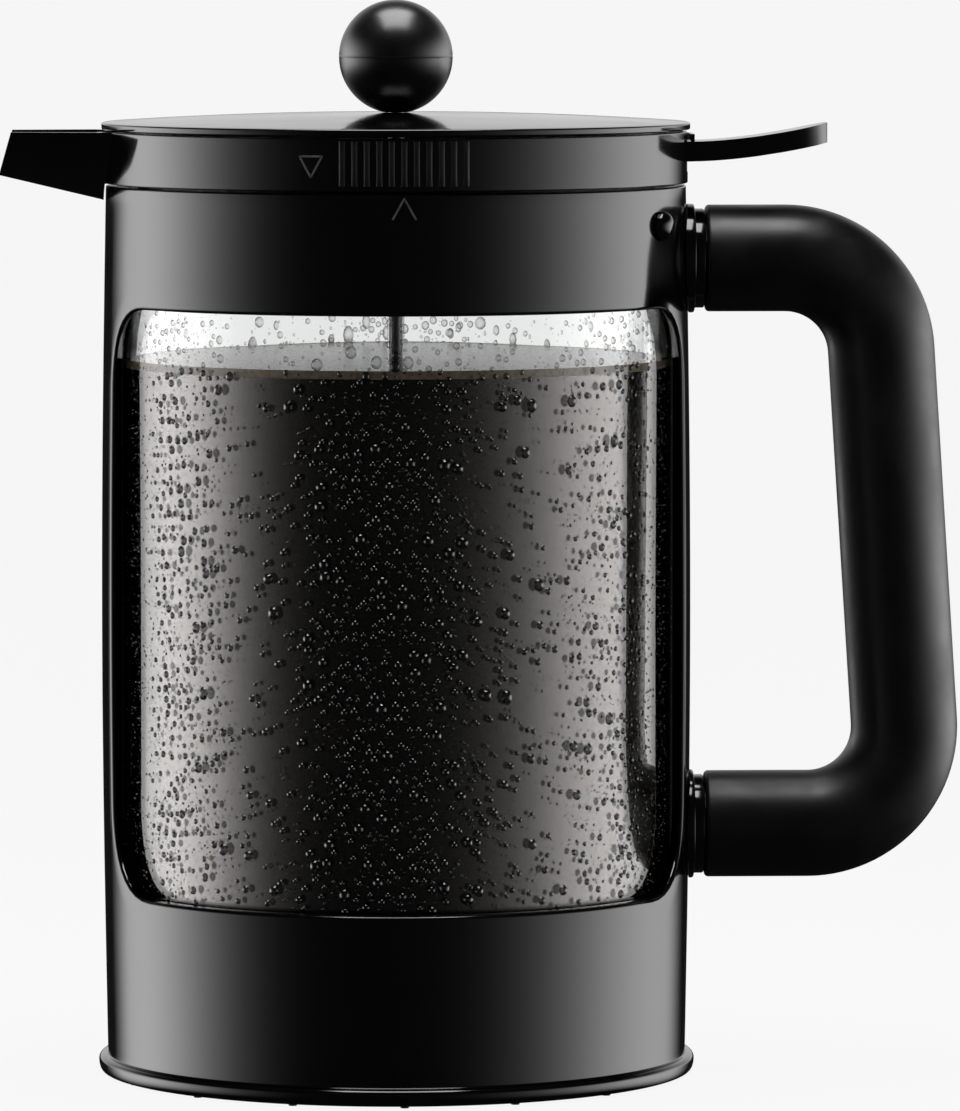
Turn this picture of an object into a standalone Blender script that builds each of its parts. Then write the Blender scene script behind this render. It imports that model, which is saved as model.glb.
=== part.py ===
# Press-style cold brew coffee maker: glass beaker in a black frame, lid with spout and thumb lever,
# plunger with filter. Metres, +Z up. The origin is where the pot's axis meets the table.
# The spout points to -X, the handle and the thumb lever to +X, the front window to -Y.

import bpy
import bmesh
from math import acos, atan2, ceil, cos, pi, radians, sin, sqrt
from mathutils import Matrix, Vector

MM = 0.001

# Shared clearances and smoothness
SEAT_GAP = 0.3 * MM
OVERRUN = 2.0 * MM
FUSE_DEPTH = 1.0 * MM
ROUND_STEPS = 60
SMALL_STEPS = 20
ARC_STEPS = 4
MERGE_DISTANCE = 0.001 * MM
HOLE_TURN = radians(1.3)

# Frame: a slightly barrelled cylinder with a flared foot and a window front and rear. The other
# pieces take their radii and heights from its own.
TOP_RADIUS = 61.2 * MM
FOOT_SPREAD = 0.1 * MM
BARREL_SWELL = 1.05 * MM
FRAME_WALL = 2.3 * MM
FRAME_BOTTOM = 0.5 * MM
FRAME_HEIGHT = 187.6 * MM
FLOOR_THICKNESS = 3.0 * MM
LIP_PROUD = 1.9 * MM
LIP_HEIGHT = 2.3 * MM
FLARE_HEIGHT = 2.4 * MM
BARREL_POINTS = 5
WINDOW_BOTTOM_RISE = 39.3 * MM
WINDOW_TOP_DROP = 25.0 * MM
WINDOW_HALF_ANGLE = radians(75.5)
WINDOW_TOP_CORNER = 16.0 * MM
WINDOW_BOTTOM_CORNER = 18.5 * MM
WINDOW_COLUMNS = 27
CORNER_ROWS = 5
FOOT_RADIUS = TOP_RADIUS + FOOT_SPREAD
LIP_RADIUS = FOOT_RADIUS + LIP_PROUD
FRAME_BORE = TOP_RADIUS - FRAME_WALL
FRAME_TOP = FRAME_BOTTOM + FRAME_HEIGHT
LIP_TOP = FRAME_BOTTOM + LIP_HEIGHT
FLARE_TOP = LIP_TOP + FLARE_HEIGHT
FLOOR_TOP = FRAME_BOTTOM + FLOOR_THICKNESS
WINDOW_BOTTOM = FRAME_BOTTOM + WINDOW_BOTTOM_RISE
WINDOW_TOP = FRAME_TOP - WINDOW_TOP_DROP

# Alignment marks, engraved in the frame and the lid ring
MARK_HALF_WIDTH = 2.4 * MM
MARK_HEIGHT = 4.3 * MM
MARK_LINE = 0.5 * MM
MARK_DEPTH = 0.3 * MM
FRAME_MARK_TOP_DROP = 0.9 * MM

# Foot ring with its nubs, held in a groove under the frame
FOOT_RING_INSET = 1.5 * MM
FOOT_RING_WIDTH = 3.4 * MM
FOOT_RING_HEIGHT = 1.0 * MM
NUB_RADIUS = 0.9 * MM
NUB_HEIGHT = 0.6 * MM
NUB_COUNT = 16
FOOT_RING_OUTER = LIP_RADIUS - FOOT_RING_INSET
FOOT_RING_INNER = FOOT_RING_OUTER - FOOT_RING_WIDTH

# Glass beaker and the cushion it stands on
GLASS_CLEARANCE = 0.7 * MM
GLASS_WALL = 2.0 * MM
GLASS_FLOOR = 2.6 * MM
GLASS_CORNER = 6.0 * MM
GLASS_RIM_DROP = 1.5 * MM
CUSHION_INSET = 4.2 * MM
CUSHION_WIDTH = 12.0 * MM
CUSHION_HEIGHT = 3.2 * MM
GLASS_RADIUS = FRAME_BORE - GLASS_CLEARANCE
GLASS_BORE = GLASS_RADIUS - GLASS_WALL
CUSHION_OUTER = GLASS_RADIUS - CUSHION_INSET
CUSHION_INNER = CUSHION_OUTER - CUSHION_WIDTH
CUSHION_BOTTOM = FLOOR_TOP + SEAT_GAP
GLASS_BOTTOM = CUSHION_BOTTOM + CUSHION_HEIGHT + SEAT_GAP
GLASS_TOP = FRAME_TOP - GLASS_RIM_DROP

# Handle: a soft grip tube on a rigid core, with a glossy collar at each end
CORE_RADIUS = 8.0 * MM
GRIP_WALL = 3.0 * MM
BEND_RADIUS = 20.56 * MM
UPPER_ARM_DROP = 15.6 * MM
LOWER_ARM_RISE = 51.8 * MM
UPPER_ARM_LENGTH = 16.9 * MM
LOWER_ARM_LENGTH = 22.0 * MM
BEND_STEPS = 8
GRIP_BEVEL_RESOLUTION = 8
CORE_BEVEL_RESOLUTION = 4
COLLAR_PROUD = 0.65 * MM
COLLAR_FLANGE_THICKNESS = 0.9 * MM
COLLAR_NECK_LENGTH = 1.5 * MM
COLLAR_FLANGE_STEP = 0.2 * MM
COLLAR_NECK_STEP = 0.8 * MM
SCREW_SHANK_RADIUS = 1.9 * MM
SCREW_HEAD_STEP = 1.6 * MM
SCREW_HEAD_HEIGHT = 1.6 * MM
SCREW_LENGTH = 15.0 * MM
SCREW_TIP_ROOM = 1.0 * MM
GRIP_RADIUS = CORE_RADIUS + SEAT_GAP + GRIP_WALL
UPPER_ARM_Z = FRAME_TOP - UPPER_ARM_DROP
LOWER_ARM_Z = FRAME_BOTTOM + LOWER_ARM_RISE
COLLAR_FLANGE_RADIUS = GRIP_RADIUS + COLLAR_FLANGE_STEP
COLLAR_NECK_RADIUS = GRIP_RADIUS - COLLAR_NECK_STEP
COLLAR_FLANGE_X = FOOT_RADIUS + BARREL_SWELL + COLLAR_PROUD
COLLAR_NECK_X = COLLAR_FLANGE_X + COLLAR_FLANGE_THICKNESS
GRIP_START_X = COLLAR_NECK_X + COLLAR_NECK_LENGTH
UPPER_BEND_X = GRIP_START_X + UPPER_ARM_LENGTH
LOWER_BEND_X = GRIP_START_X + LOWER_ARM_LENGTH
CORE_START_X = COLLAR_FLANGE_X - SEAT_GAP / 2
SCREW_HEAD_RADIUS = SCREW_SHANK_RADIUS + SCREW_HEAD_STEP

# Domed pegs in the frame beside the handle
PEG_ANGLE = radians(27.5)
PEG_DROP = 7.8 * MM
PEG_DOME_RADIUS = 3.1 * MM
PEG_DOME_HEIGHT = 2.4 * MM
PEG_SHANK_RADIUS = 1.5 * MM
PEG_Z = FRAME_TOP - PEG_DROP

# Lid ring with grip ribs
RING_STEP = 0.4 * MM
RING_WALL = 2.5 * MM
RING_HEIGHT = 10.9 * MM
SEAM_GAP = 0.5 * MM
LEDGE_THICKNESS = 1.2 * MM
LEDGE_CUP_GAP = 0.9 * MM
RIB_COUNT = 11
RIB_PITCH = radians(2.38)
RIB_WIDTH = 1.1 * MM
RIB_PROUD = 0.5 * MM
RIB_END_MARGIN = 0.6 * MM
RIB_BOTTOM_MARGIN = 1.1 * MM
LID_MARK_ANGLE = radians(18.0)
LID_MARK_TOP_DROP = 3.7 * MM
RING_RADIUS = TOP_RADIUS + RING_STEP
RING_INNER = RING_RADIUS - RING_WALL
RING_BOTTOM = FRAME_TOP + SEAM_GAP
RING_TOP = RING_BOTTOM + RING_HEIGHT
LEDGE_TOP = RING_BOTTOM + LEDGE_THICKNESS

# Spout: an open V-shaped trough on the ring
SPOUT_ROOT_INSET = 2.3 * MM
SPOUT_LENGTH = 21.7 * MM
SPOUT_TIP_SLANT = 2.7 * MM
SPOUT_ROOT_HALF_WIDTH = 13.9 * MM
SPOUT_TIP_HALF_WIDTH = 11.0 * MM
SPOUT_DROP = 4.2 * MM
SPOUT_CLIMB = 5.8 * MM
SPOUT_WALL = 2.0 * MM
SPOUT_ROOT_WALL = 1.5 * MM
SPOUT_CORNER_POWER = 1.25
SPOUT_SECTION_STEPS = 10
SPOUT_FRAME_GAP = 0.4 * MM
INLET_HALF_WIDTH = 10.0 * MM
SPOUT_ROOT_X = RING_RADIUS - SPOUT_ROOT_INSET
SPOUT_TIP_TOP_X = SPOUT_ROOT_X + SPOUT_LENGTH
SPOUT_TIP_BOTTOM_X = SPOUT_TIP_TOP_X + SPOUT_TIP_SLANT
SPOUT_ROOT_BOTTOM = RING_BOTTOM - SPOUT_DROP
SPOUT_TIP_BOTTOM = SPOUT_ROOT_BOTTOM + SPOUT_CLIMB

# Rod bushing, round the plunger's rod
ROD_RADIUS = 1.8 * MM
BUSHING_WALL = 2.4 * MM
BUSHING_FLANGE_STEP = 1.9 * MM
BUSHING_FLANGE = 1.2 * MM
ROD_BORE = ROD_RADIUS + SEAT_GAP
BUSHING_RADIUS = ROD_BORE + BUSHING_WALL
BUSHING_FLANGE_RADIUS = BUSHING_RADIUS + BUSHING_FLANGE_STEP

# Inner lid cup with its floor, rod boss, pour port and lever posts
CUP_CLEARANCE = 1.6 * MM
CUP_WALL = 2.4 * MM
CUP_DEPTH = 11.2 * MM
CUP_FLOOR = 2.0 * MM
CUP_FLANGE = 1.0 * MM
BOSS_WALL = 2.2 * MM
BOSS_DROP = 3.1 * MM
SEAL_GROOVE_DEPTH = 1.2 * MM
SEAL_GROOVE_RISE = 2.1 * MM
SEAL_GROOVE_HEIGHT = 4.0 * MM
PORT_INSET = 24.6 * MM
PORT_RADIUS = 6.0 * MM
CUP_RADIUS = GLASS_BORE - CUP_CLEARANCE
CUP_BOTTOM = RING_BOTTOM - CUP_DEPTH
CUP_FLOOR_TOP = CUP_BOTTOM + CUP_FLOOR
CUP_FLANGE_RADIUS = RING_INNER - SEAT_GAP
CUP_FLANGE_TOP = LEDGE_TOP + SEAT_GAP + CUP_FLANGE
LEDGE_INNER = CUP_RADIUS + LEDGE_CUP_GAP
BOSS_RADIUS = BUSHING_RADIUS + SEAT_GAP + BOSS_WALL
BOSS_TOP = CUP_FLANGE_TOP - BOSS_DROP
SEAL_GROOVE_BOTTOM = CUP_BOTTOM + SEAL_GROOVE_RISE
PORT_X = PORT_INSET - CUP_RADIUS

# Lid disc
DISC_OVERHANG = 0.5 * MM
DISC_RIM = 1.5 * MM
DISC_DOME_RISE = 1.8 * MM
DISC_THICKNESS = 1.6 * MM
DISC_SEAT_WIDTH = 4.5 * MM
DISC_POINTS = 3
DISC_RADIUS = RING_RADIUS + DISC_OVERHANG
DISC_BOTTOM = RING_TOP + SEAT_GAP
DISC_EDGE_TOP = DISC_BOTTOM + DISC_RIM
DISC_APEX = DISC_EDGE_TOP + DISC_DOME_RISE

# Pour valve in the cup's port
VALVE_OVERLAP = 1.5 * MM
VALVE_THICKNESS = 2.0 * MM
VALVE_STEM_RADIUS = 2.0 * MM
VALVE_HEAD_OVERLAP = 1.2 * MM
VALVE_HEAD = 1.5 * MM

# Thumb lever, its pin and its spring
PIVOT_INSET = 21.6 * MM
PIVOT_DROP = 5.0 * MM
PIN_RADIUS = 1.5 * MM
BARREL_WALL = 1.7 * MM
LEVER_BARREL_HALF_LENGTH = 5.0 * MM
TONGUE_ROOT_GAP = 0.2 * MM
TONGUE_LENGTH = 29.2 * MM
TONGUE_DROP = 4.3 * MM
TONGUE_RISE = 3.9 * MM
TONGUE_CURVE_POWER = 1.75
TONGUE_THICKNESS = 4.2 * MM
TONGUE_HALF_WIDTH = 7.0 * MM
TONGUE_NOSE_LENGTH = 7.0 * MM
TONGUE_NOSE_SHARE = 0.45
TONGUE_STEPS = 12
POST_CLEARANCE = 2.0 * MM
POST_THICKNESS = 3.0 * MM
POST_HALF_WIDTH = 4.0 * MM
POST_TOP_MARGIN = 3.1 * MM
LEVER_STOP_SETBACK = 0.2 * MM
LEVER_STOP_LENGTH = 0.75 * MM
LEVER_STOP_TOP_GAP = 0.9 * MM
ARM_RISE = 2.2 * MM
ARM_THICKNESS = 3.2 * MM
ARM_HALF_WIDTH = 4.0 * MM
LOOP_CLEARANCE = 2.5 * MM
LOOP_WIDTH = 3.5 * MM
FINGER_CLEARANCE = 1.0 * MM
FINGER_WIDTH = 3.2 * MM
LEVER_DROP_AT_WALL = 1.9 * MM
SPRING_WIRE = 0.35 * MM
SPRING_CLEARANCE = 1.1 * MM
SPRING_PITCH = 1.2 * MM
SPRING_TURNS = 2.25
SPRING_TURN_POINTS = 9
SPRING_ARM_LENGTH = 12.0 * MM
SPRING_BEVEL_RESOLUTION = 1
PIVOT_X = RING_RADIUS - PIVOT_INSET
PIVOT_Z = RING_TOP - PIVOT_DROP
BARREL_RADIUS = PIN_RADIUS + SEAT_GAP + BARREL_WALL
SPRING_RADIUS = PIN_RADIUS + SPRING_CLEARANCE
POST_INNER_Y = TONGUE_HALF_WIDTH + POST_CLEARANCE
TONGUE_ROOT_X = RING_RADIUS + TONGUE_ROOT_GAP
TONGUE_TIP_X = TONGUE_ROOT_X + TONGUE_LENGTH
TONGUE_ROOT_Z = RING_TOP - TONGUE_DROP
LEVER_STOP_X = TONGUE_ROOT_X + LEVER_STOP_SETBACK
ARM_TOP = BOSS_TOP + ARM_RISE
LOOP_INNER = BOSS_RADIUS + LOOP_CLEARANCE
LOOP_OUTER = LOOP_INNER + LOOP_WIDTH
FINGER_INNER = VALVE_STEM_RADIUS + FINGER_CLEARANCE
FINGER_OUTER = FINGER_INNER + FINGER_WIDTH
VALVE_RADIUS = PORT_RADIUS + VALVE_OVERLAP
VALVE_HEAD_RADIUS = FINGER_INNER + VALVE_HEAD_OVERLAP

# Plunger: ball knob, rod and filter stack
KNOB_RADIUS = 12.0 * MM
KNOB_SINK = 0.3 * MM
KNOB_STEPS = 13
ROD_IN_KNOB = 9.6 * MM
FILTER_REST = 8.1 * MM
NUT_RADIUS = 6.0 * MM
NUT_HEIGHT = 3.7 * MM
NUT_OVERHANG = 0.2 * MM
CROSS_PLATE_THICKNESS = 1.5 * MM
CROSS_PLATE_CLEARANCE = 6.2 * MM
CROSS_HOLE_COUNT = 6
CROSS_HUB_RADIUS = 18.0 * MM
CROSS_RIM_WIDTH = 8.0 * MM
MESH_THICKNESS = 0.6 * MM
MESH_CLEARANCE = 1.7 * MM
GASKET_HEIGHT = 3.0 * MM
GASKET_WIDTH = 4.4 * MM
SPACER_RADIUS = 5.0 * MM
SPREADER_THICKNESS = 1.2 * MM
SPREADER_CLEARANCE = 2.7 * MM
SPREADER_HOLE_COUNT = 8
SPREADER_HOLE_RADIUS = 5.0 * MM
SPREADER_HOLE_INSET = 19.5 * MM
ROD_COLLAR_HEIGHT = 2.5 * MM
KNOB_BOTTOM = DISC_APEX + SEAT_GAP
KNOB_CENTRE = KNOB_BOTTOM + KNOB_RADIUS - KNOB_SINK
ROD_TOP = KNOB_BOTTOM + ROD_IN_KNOB
CROSS_PLATE_BOTTOM = GLASS_BOTTOM + GLASS_FLOOR + FILTER_REST
CROSS_PLATE_RADIUS = GLASS_BORE - CROSS_PLATE_CLEARANCE
CROSS_HOLE_RADIUS = (CROSS_PLATE_RADIUS - CROSS_RIM_WIDTH - CROSS_HUB_RADIUS) / 2
CROSS_HOLE_PLACE = CROSS_HUB_RADIUS + CROSS_HOLE_RADIUS
ROD_BOTTOM = CROSS_PLATE_BOTTOM - SEAT_GAP - NUT_HEIGHT + NUT_OVERHANG
MESH_RADIUS = GLASS_BORE - MESH_CLEARANCE
MESH_BOTTOM = CROSS_PLATE_BOTTOM + CROSS_PLATE_THICKNESS + SEAT_GAP
GASKET_OUTER = GLASS_BORE - SEAT_GAP
GASKET_BOTTOM = MESH_BOTTOM + MESH_THICKNESS + SEAT_GAP
SPREADER_BOTTOM = GASKET_BOTTOM + GASKET_HEIGHT + SEAT_GAP
SPREADER_RADIUS = GLASS_BORE - SPREADER_CLEARANCE
SPREADER_HOLE_PLACE = SPREADER_RADIUS - SPREADER_HOLE_INSET
ROD_COLLAR_BOTTOM = SPREADER_BOTTOM + SPREADER_THICKNESS + SEAT_GAP

parts = None
cutters = None
materials = {}


def clear_scene():
    for thing in list(bpy.data.objects):
        bpy.data.objects.remove(thing, do_unlink=True)
    for group in list(bpy.data.collections):
        bpy.data.collections.remove(group)


def make_material(name, colour, roughness, metallic=0.0, transmission=0.0):
    made = bpy.data.materials.new(name)
    made.use_nodes = True
    shader = made.node_tree.nodes["Principled BSDF"]
    shader.inputs["Base Color"].default_value = (*colour, 1.0)
    shader.inputs["Roughness"].default_value = roughness
    shader.inputs["Metallic"].default_value = metallic
    shader.inputs["Transmission Weight"].default_value = transmission
    materials[name] = made


def make_materials():
    make_material("gloss_black", (0.012, 0.012, 0.013), 0.12)
    make_material("soft_black", (0.02, 0.02, 0.021), 0.55)
    make_material("glass", (0.9, 0.93, 0.93), 0.02, transmission=1.0)
    make_material("steel", (0.62, 0.62, 0.63), 0.25, metallic=1.0)
    make_material("silicone", (0.03, 0.03, 0.03), 0.7)
    make_material("nylon", (0.05, 0.05, 0.05), 0.45)


def new_object(name, mesh, material=None):
    made = bpy.data.objects.new(name, mesh)
    if material is None:
        cutters.objects.link(made)
        made.hide_render = True
        made.display_type = "WIRE"
    else:
        parts.objects.link(made)
        mesh.materials.append(materials[material])
        mesh.shade_smooth()
        mesh.set_sharp_from_angle(angle=radians(35.0))
    return made


def turned(name, outline, material=None, steps=ROUND_STEPS, closed=True):
    """Turn an outline of (radius, height) points, which runs down its outer side, about Z."""
    mesh = bpy.data.meshes.new(name)
    points = [(radius, 0.0, height) for radius, height in outline]
    edges = [(i, i + 1) for i in range(len(points) - 1)]
    if closed:
        edges.append((len(points) - 1, 0))
    mesh.from_pydata(points, edges, [])
    made = new_object(name, mesh, material)
    screw = made.modifiers.new("turn", "SCREW")
    screw.steps = steps
    screw.render_steps = steps
    screw.use_merge_vertices = True
    screw.merge_threshold = MERGE_DISTANCE
    screw.use_smooth_shade = material is not None
    made.rotation_euler = (0.0, 0.0, pi / steps)
    return made


def from_bmesh(name, shape, material=None):
    mesh = bpy.data.meshes.new(name)
    bmesh.ops.recalc_face_normals(shape, faces=shape.faces)
    shape.to_mesh(mesh)
    shape.free()
    return new_object(name, mesh, material)


def box(name, low, high, material=None):
    shape = bmesh.new()
    size = Vector(high) - Vector(low)
    middle = (Vector(high) + Vector(low)) / 2
    place = Matrix.Translation(middle) @ Matrix.Diagonal((*size, 1.0))
    bmesh.ops.create_cube(shape, size=1.0, matrix=place)
    return from_bmesh(name, shape, material)


def cylinder(name, radius, start, end, material=None, steps=SMALL_STEPS):
    shape = bmesh.new()
    start, end = Vector(start), Vector(end)
    along = end - start
    turn = along.to_track_quat("Z", "Y").to_matrix().to_4x4()
    place = Matrix.Translation((start + end) / 2) @ turn
    bmesh.ops.create_cone(shape, cap_ends=True, segments=steps, radius1=radius, radius2=radius,
                          depth=along.length, matrix=place)
    return from_bmesh(name, shape, material)


def loft(name, sections, material=None, endless=False):
    """Join equal rings of points with faces; close both ends, or join the last ring to the first."""
    shape = bmesh.new()
    rings = [[shape.verts.new(point) for point in section] for section in sections]
    count = len(rings[0])
    following = rings[1:] + rings[:1] if endless else rings[1:]
    for first, second in zip(rings, following):
        for i in range(count):
            j = (i + 1) % count
            shape.faces.new((first[i], first[j], second[j], second[i]))
    if not endless:
        shape.faces.new(rings[0])
        shape.faces.new(rings[-1])
    return from_bmesh(name, shape, material)


def boolean(target, tool, operation):
    change = target.modifiers.new(tool.name, "BOOLEAN")
    change.operation = operation
    change.solver = "EXACT"
    change.object = tool


def cut(target, *tools):
    for tool in tools:
        boolean(target, tool, "DIFFERENCE")


def join(target, *tools):
    for tool in tools:
        boolean(target, tool, "UNION")


def place_along_x(made, height):
    """Stand a turned piece's axis along +X at this height."""
    turn = Matrix.Rotation(pi / 2, 3, "Y") @ Matrix.Rotation(HOLE_TURN, 3, "Z")
    made.rotation_euler = turn.to_euler()
    made.location = (0.0, 0.0, height)


def ring_outline(inner, outer, bottom, top):
    return [(outer, top), (outer, bottom), (inner, bottom), (inner, top)]


def ring(name, inner, outer, bottom, top, material, steps=ROUND_STEPS):
    return turned(name, ring_outline(inner, outer, bottom, top), material, steps)


def arc(centre, radius, start, end, steps=ARC_STEPS):
    points = []
    for i in range(steps + 1):
        angle = start + (end - start) * i / steps
        points.append((centre[0] + radius * cos(angle), centre[1] + radius * sin(angle)))
    return points


def frame_radius(height):
    """Outer radius of the frame's barrelled wall at this height."""
    share = (height - FLARE_TOP) / (FRAME_TOP - FLARE_TOP)
    straight = FOOT_RADIUS + (TOP_RADIUS - FOOT_RADIUS) * share
    return straight + BARREL_SWELL * sin(pi * share)


def frame_wall(top, bottom, offset=0.0):
    points = []
    for i in range(BARREL_POINTS + 1):
        height = top + (bottom - top) * i / BARREL_POINTS
        points.append((frame_radius(height) + offset, height))
    return points


def frame_envelope(name, gap):
    """The frame's outside with a clearance, for cutting what fits over it."""
    wall = frame_wall(FRAME_TOP, FLARE_TOP, gap)
    outline = [(0.0, FRAME_TOP + gap), (wall[0][0], FRAME_TOP + gap)] + wall + [(0.0, FLARE_TOP)]
    return turned(name, outline, closed=False)


def window_cutter(name):
    """A rounded rectangle wrapped round the frame's front and mirrored to its rear."""
    rows = []
    for i in range(CORNER_ROWS + 1):
        angle = pi / 2 * i / CORNER_ROWS
        rows.append((WINDOW_BOTTOM + WINDOW_BOTTOM_CORNER * (1 - cos(angle)),
                     WINDOW_BOTTOM_CORNER * (1 - sin(angle))))
    for i in range(CORNER_ROWS + 1):
        angle = pi / 2 * i / CORNER_ROWS
        rows.append((WINDOW_TOP - WINDOW_TOP_CORNER * (1 - sin(angle)),
                     WINDOW_TOP_CORNER * (1 - cos(angle))))
    sections = []
    for height, inset in rows:
        reach = WINDOW_HALF_ANGLE - inset / FOOT_RADIUS
        angles = [reach * (2 * i / WINDOW_COLUMNS - 1) - pi / 2 for i in range(WINDOW_COLUMNS + 1)]
        section = []
        for radius, ordered in ((LIP_RADIUS + OVERRUN, angles), (FRAME_BORE - OVERRUN, angles[::-1])):
            section += [(radius * cos(angle), radius * sin(angle), height) for angle in ordered]
        sections.append(section)
    made = loft(name, sections)
    mirror = made.modifiers.new("rear", "MIRROR")
    mirror.use_axis = (False, True, False)
    mirror.use_mirror_merge = False
    return made


def mark_cutter(name, radius, azimuth, corners, endless):
    """A cutter for an engraved line through three (across, height) corners on a round wall."""
    middle = [sum(corner[i] for corner in corners) / len(corners) for i in (0, 1)]
    share = MARK_LINE / 2 / (MARK_HEIGHT / 3)
    turn = Matrix.Rotation(azimuth, 4, "Z")
    sections = []
    for corner in corners:
        section = []
        for depth, grow in ((-MARK_DEPTH, -share), (-MARK_DEPTH, share),
                            (MARK_DEPTH, share), (MARK_DEPTH, -share)):
            across, height = [middle[i] + (corner[i] - middle[i]) * (1 + grow) for i in (0, 1)]
            section.append(turn @ Vector((radius + depth, across, height)))
        sections.append(section)
    return loft(name, sections, endless=endless)


def make_frame():
    groove_top = NUB_HEIGHT + FOOT_RING_HEIGHT + SEAT_GAP
    flare = []
    for i in range(1, ARC_STEPS + 1):
        angle = pi / 2 * i / ARC_STEPS
        flare.append((FOOT_RADIUS + (LIP_RADIUS - FOOT_RADIUS) * (1 - cos(angle)),
                      FLARE_TOP - (FLARE_TOP - LIP_TOP) * sin(angle)))
    outline = [(0.0, FLOOR_TOP), (FRAME_BORE, FLOOR_TOP), (FRAME_BORE, FRAME_TOP)]
    outline += frame_wall(FRAME_TOP, FLARE_TOP) + flare
    outline += [(LIP_RADIUS, FRAME_BOTTOM), (FOOT_RING_OUTER + SEAT_GAP, FRAME_BOTTOM),
                (FOOT_RING_OUTER + SEAT_GAP, groove_top), (FOOT_RING_INNER - SEAT_GAP, groove_top),
                (FOOT_RING_INNER - SEAT_GAP, FRAME_BOTTOM), (0.0, FRAME_BOTTOM)]
    frame = turned("frame_shell", outline, "gloss_black", closed=False)
    cut(frame, window_cutter("windows"))
    apex = FRAME_TOP - FRAME_MARK_TOP_DROP
    corners = [(-MARK_HALF_WIDTH, apex - MARK_HEIGHT), (0.0, apex), (MARK_HALF_WIDTH, apex - MARK_HEIGHT)]
    cut(frame, mark_cutter("frame_mark", frame_radius(apex - MARK_HEIGHT / 2), -pi / 2, corners, False))
    for name, height in (("upper", UPPER_ARM_Z), ("lower", LOWER_ARM_Z)):
        cut(frame, screw_shape("screw_hole_" + name, height, SEAT_GAP))
    for name, side in (("front", -1), ("rear", 1)):
        direction = Vector((cos(PEG_ANGLE), side * sin(PEG_ANGLE), 0.0))
        lift = Vector((0.0, 0.0, PEG_Z))
        hole = cylinder("peg_hole_" + name, PEG_SHANK_RADIUS + SEAT_GAP,
                        direction * (FRAME_BORE - OVERRUN) + lift, direction * (LIP_RADIUS + OVERRUN) + lift)
        cut(frame, hole)
    return frame


def make_foot_ring():
    made = ring("foot_ring", FOOT_RING_INNER, FOOT_RING_OUTER, NUB_HEIGHT, NUB_HEIGHT + FOOT_RING_HEIGHT,
                "silicone")
    place = (FOOT_RING_INNER + FOOT_RING_OUTER) / 2
    for i in range(NUB_COUNT):
        angle = 2 * pi * i / NUB_COUNT - pi / 2
        x, y = place * cos(angle), place * sin(angle)
        join(made, cylinder("nub_%d" % i, NUB_RADIUS, (x, y, 0.0),
                            (x, y, NUB_HEIGHT + FOOT_RING_HEIGHT / 2), steps=8))


def make_beaker():
    ring("beaker_cushion", CUSHION_INNER, CUSHION_OUTER, CUSHION_BOTTOM, CUSHION_BOTTOM + CUSHION_HEIGHT,
         "silicone", steps=48)
    outer_centre = (GLASS_RADIUS - GLASS_CORNER, GLASS_BOTTOM + GLASS_CORNER)
    inner_corner = GLASS_CORNER - GLASS_WALL
    inner_centre = (GLASS_BORE - inner_corner, GLASS_BOTTOM + GLASS_FLOOR + inner_corner)
    rim = GLASS_WALL / 2
    outline = [(0.0, GLASS_BOTTOM + GLASS_FLOOR)]
    outline += arc(inner_centre, inner_corner, -pi / 2, 0.0)
    outline += arc((GLASS_RADIUS - rim, GLASS_TOP - rim), rim, pi, 0.0)
    outline += arc(outer_centre, GLASS_CORNER, 0.0, -pi / 2)
    outline.append((0.0, GLASS_BOTTOM))
    turned("glass_beaker", outline, "glass", closed=False)


def handle_path(start_x):
    """Centre line of the handle, from the upper end to the lower end."""
    upper = (UPPER_BEND_X, UPPER_ARM_Z - BEND_RADIUS)
    lower = (LOWER_BEND_X, LOWER_ARM_Z + BEND_RADIUS)
    lean = atan2(lower[0] - upper[0], upper[1] - lower[1])
    points = [(start_x, UPPER_ARM_Z)]
    points += arc(upper, BEND_RADIUS, pi / 2, lean, BEND_STEPS)
    points += arc(lower, BEND_RADIUS, lean, -pi / 2, BEND_STEPS)
    points.append((start_x, LOWER_ARM_Z))
    return [(x, 0.0, z) for x, z in points]


def tube(name, path, radius, resolution, material=None):
    """A round tube with closed ends along a path, as a mesh."""
    curve = bpy.data.curves.new(name + "_line", "CURVE")
    curve.dimensions = "3D"
    curve.bevel_depth = radius
    curve.bevel_resolution = resolution
    curve.use_fill_caps = True
    spline = curve.splines.new("POLY")
    spline.points.add(len(path) - 1)
    for point, place in zip(spline.points, path):
        point.co = (*place, 1.0)
    holder = bpy.data.objects.new(name + "_line", curve)
    parts.objects.link(holder)
    bpy.context.view_layer.update()
    evaluated = holder.evaluated_get(bpy.context.evaluated_depsgraph_get())
    mesh = bpy.data.meshes.new_from_object(evaluated)
    bpy.data.objects.remove(holder, do_unlink=True)
    shape = bmesh.new()
    shape.from_mesh(mesh)
    bpy.data.meshes.remove(mesh)
    bmesh.ops.remove_doubles(shape, verts=shape.verts, dist=MERGE_DISTANCE)
    return from_bmesh(name, shape, material)


def screw_shape(name, height, gap=0.0, material=None):
    """A countersunk screw along +X, entered from inside the frame; gap makes it a hole."""
    head_x = FRAME_BORE + SEAT_GAP / 2
    reach = head_x + SCREW_LENGTH + (SCREW_TIP_ROOM if gap else 0.0)
    mouth = head_x - (OVERRUN if gap else 0.0)
    outline = [(0.0, reach), (SCREW_SHANK_RADIUS + gap, reach),
               (SCREW_SHANK_RADIUS + gap, head_x + SCREW_HEAD_HEIGHT),
               (SCREW_HEAD_RADIUS + gap, head_x), (SCREW_HEAD_RADIUS + gap, mouth), (0.0, mouth)]
    if not gap:
        outline.pop(3)
    made = turned(name, outline, material, SMALL_STEPS, closed=False)
    place_along_x(made, height)
    return made


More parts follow.
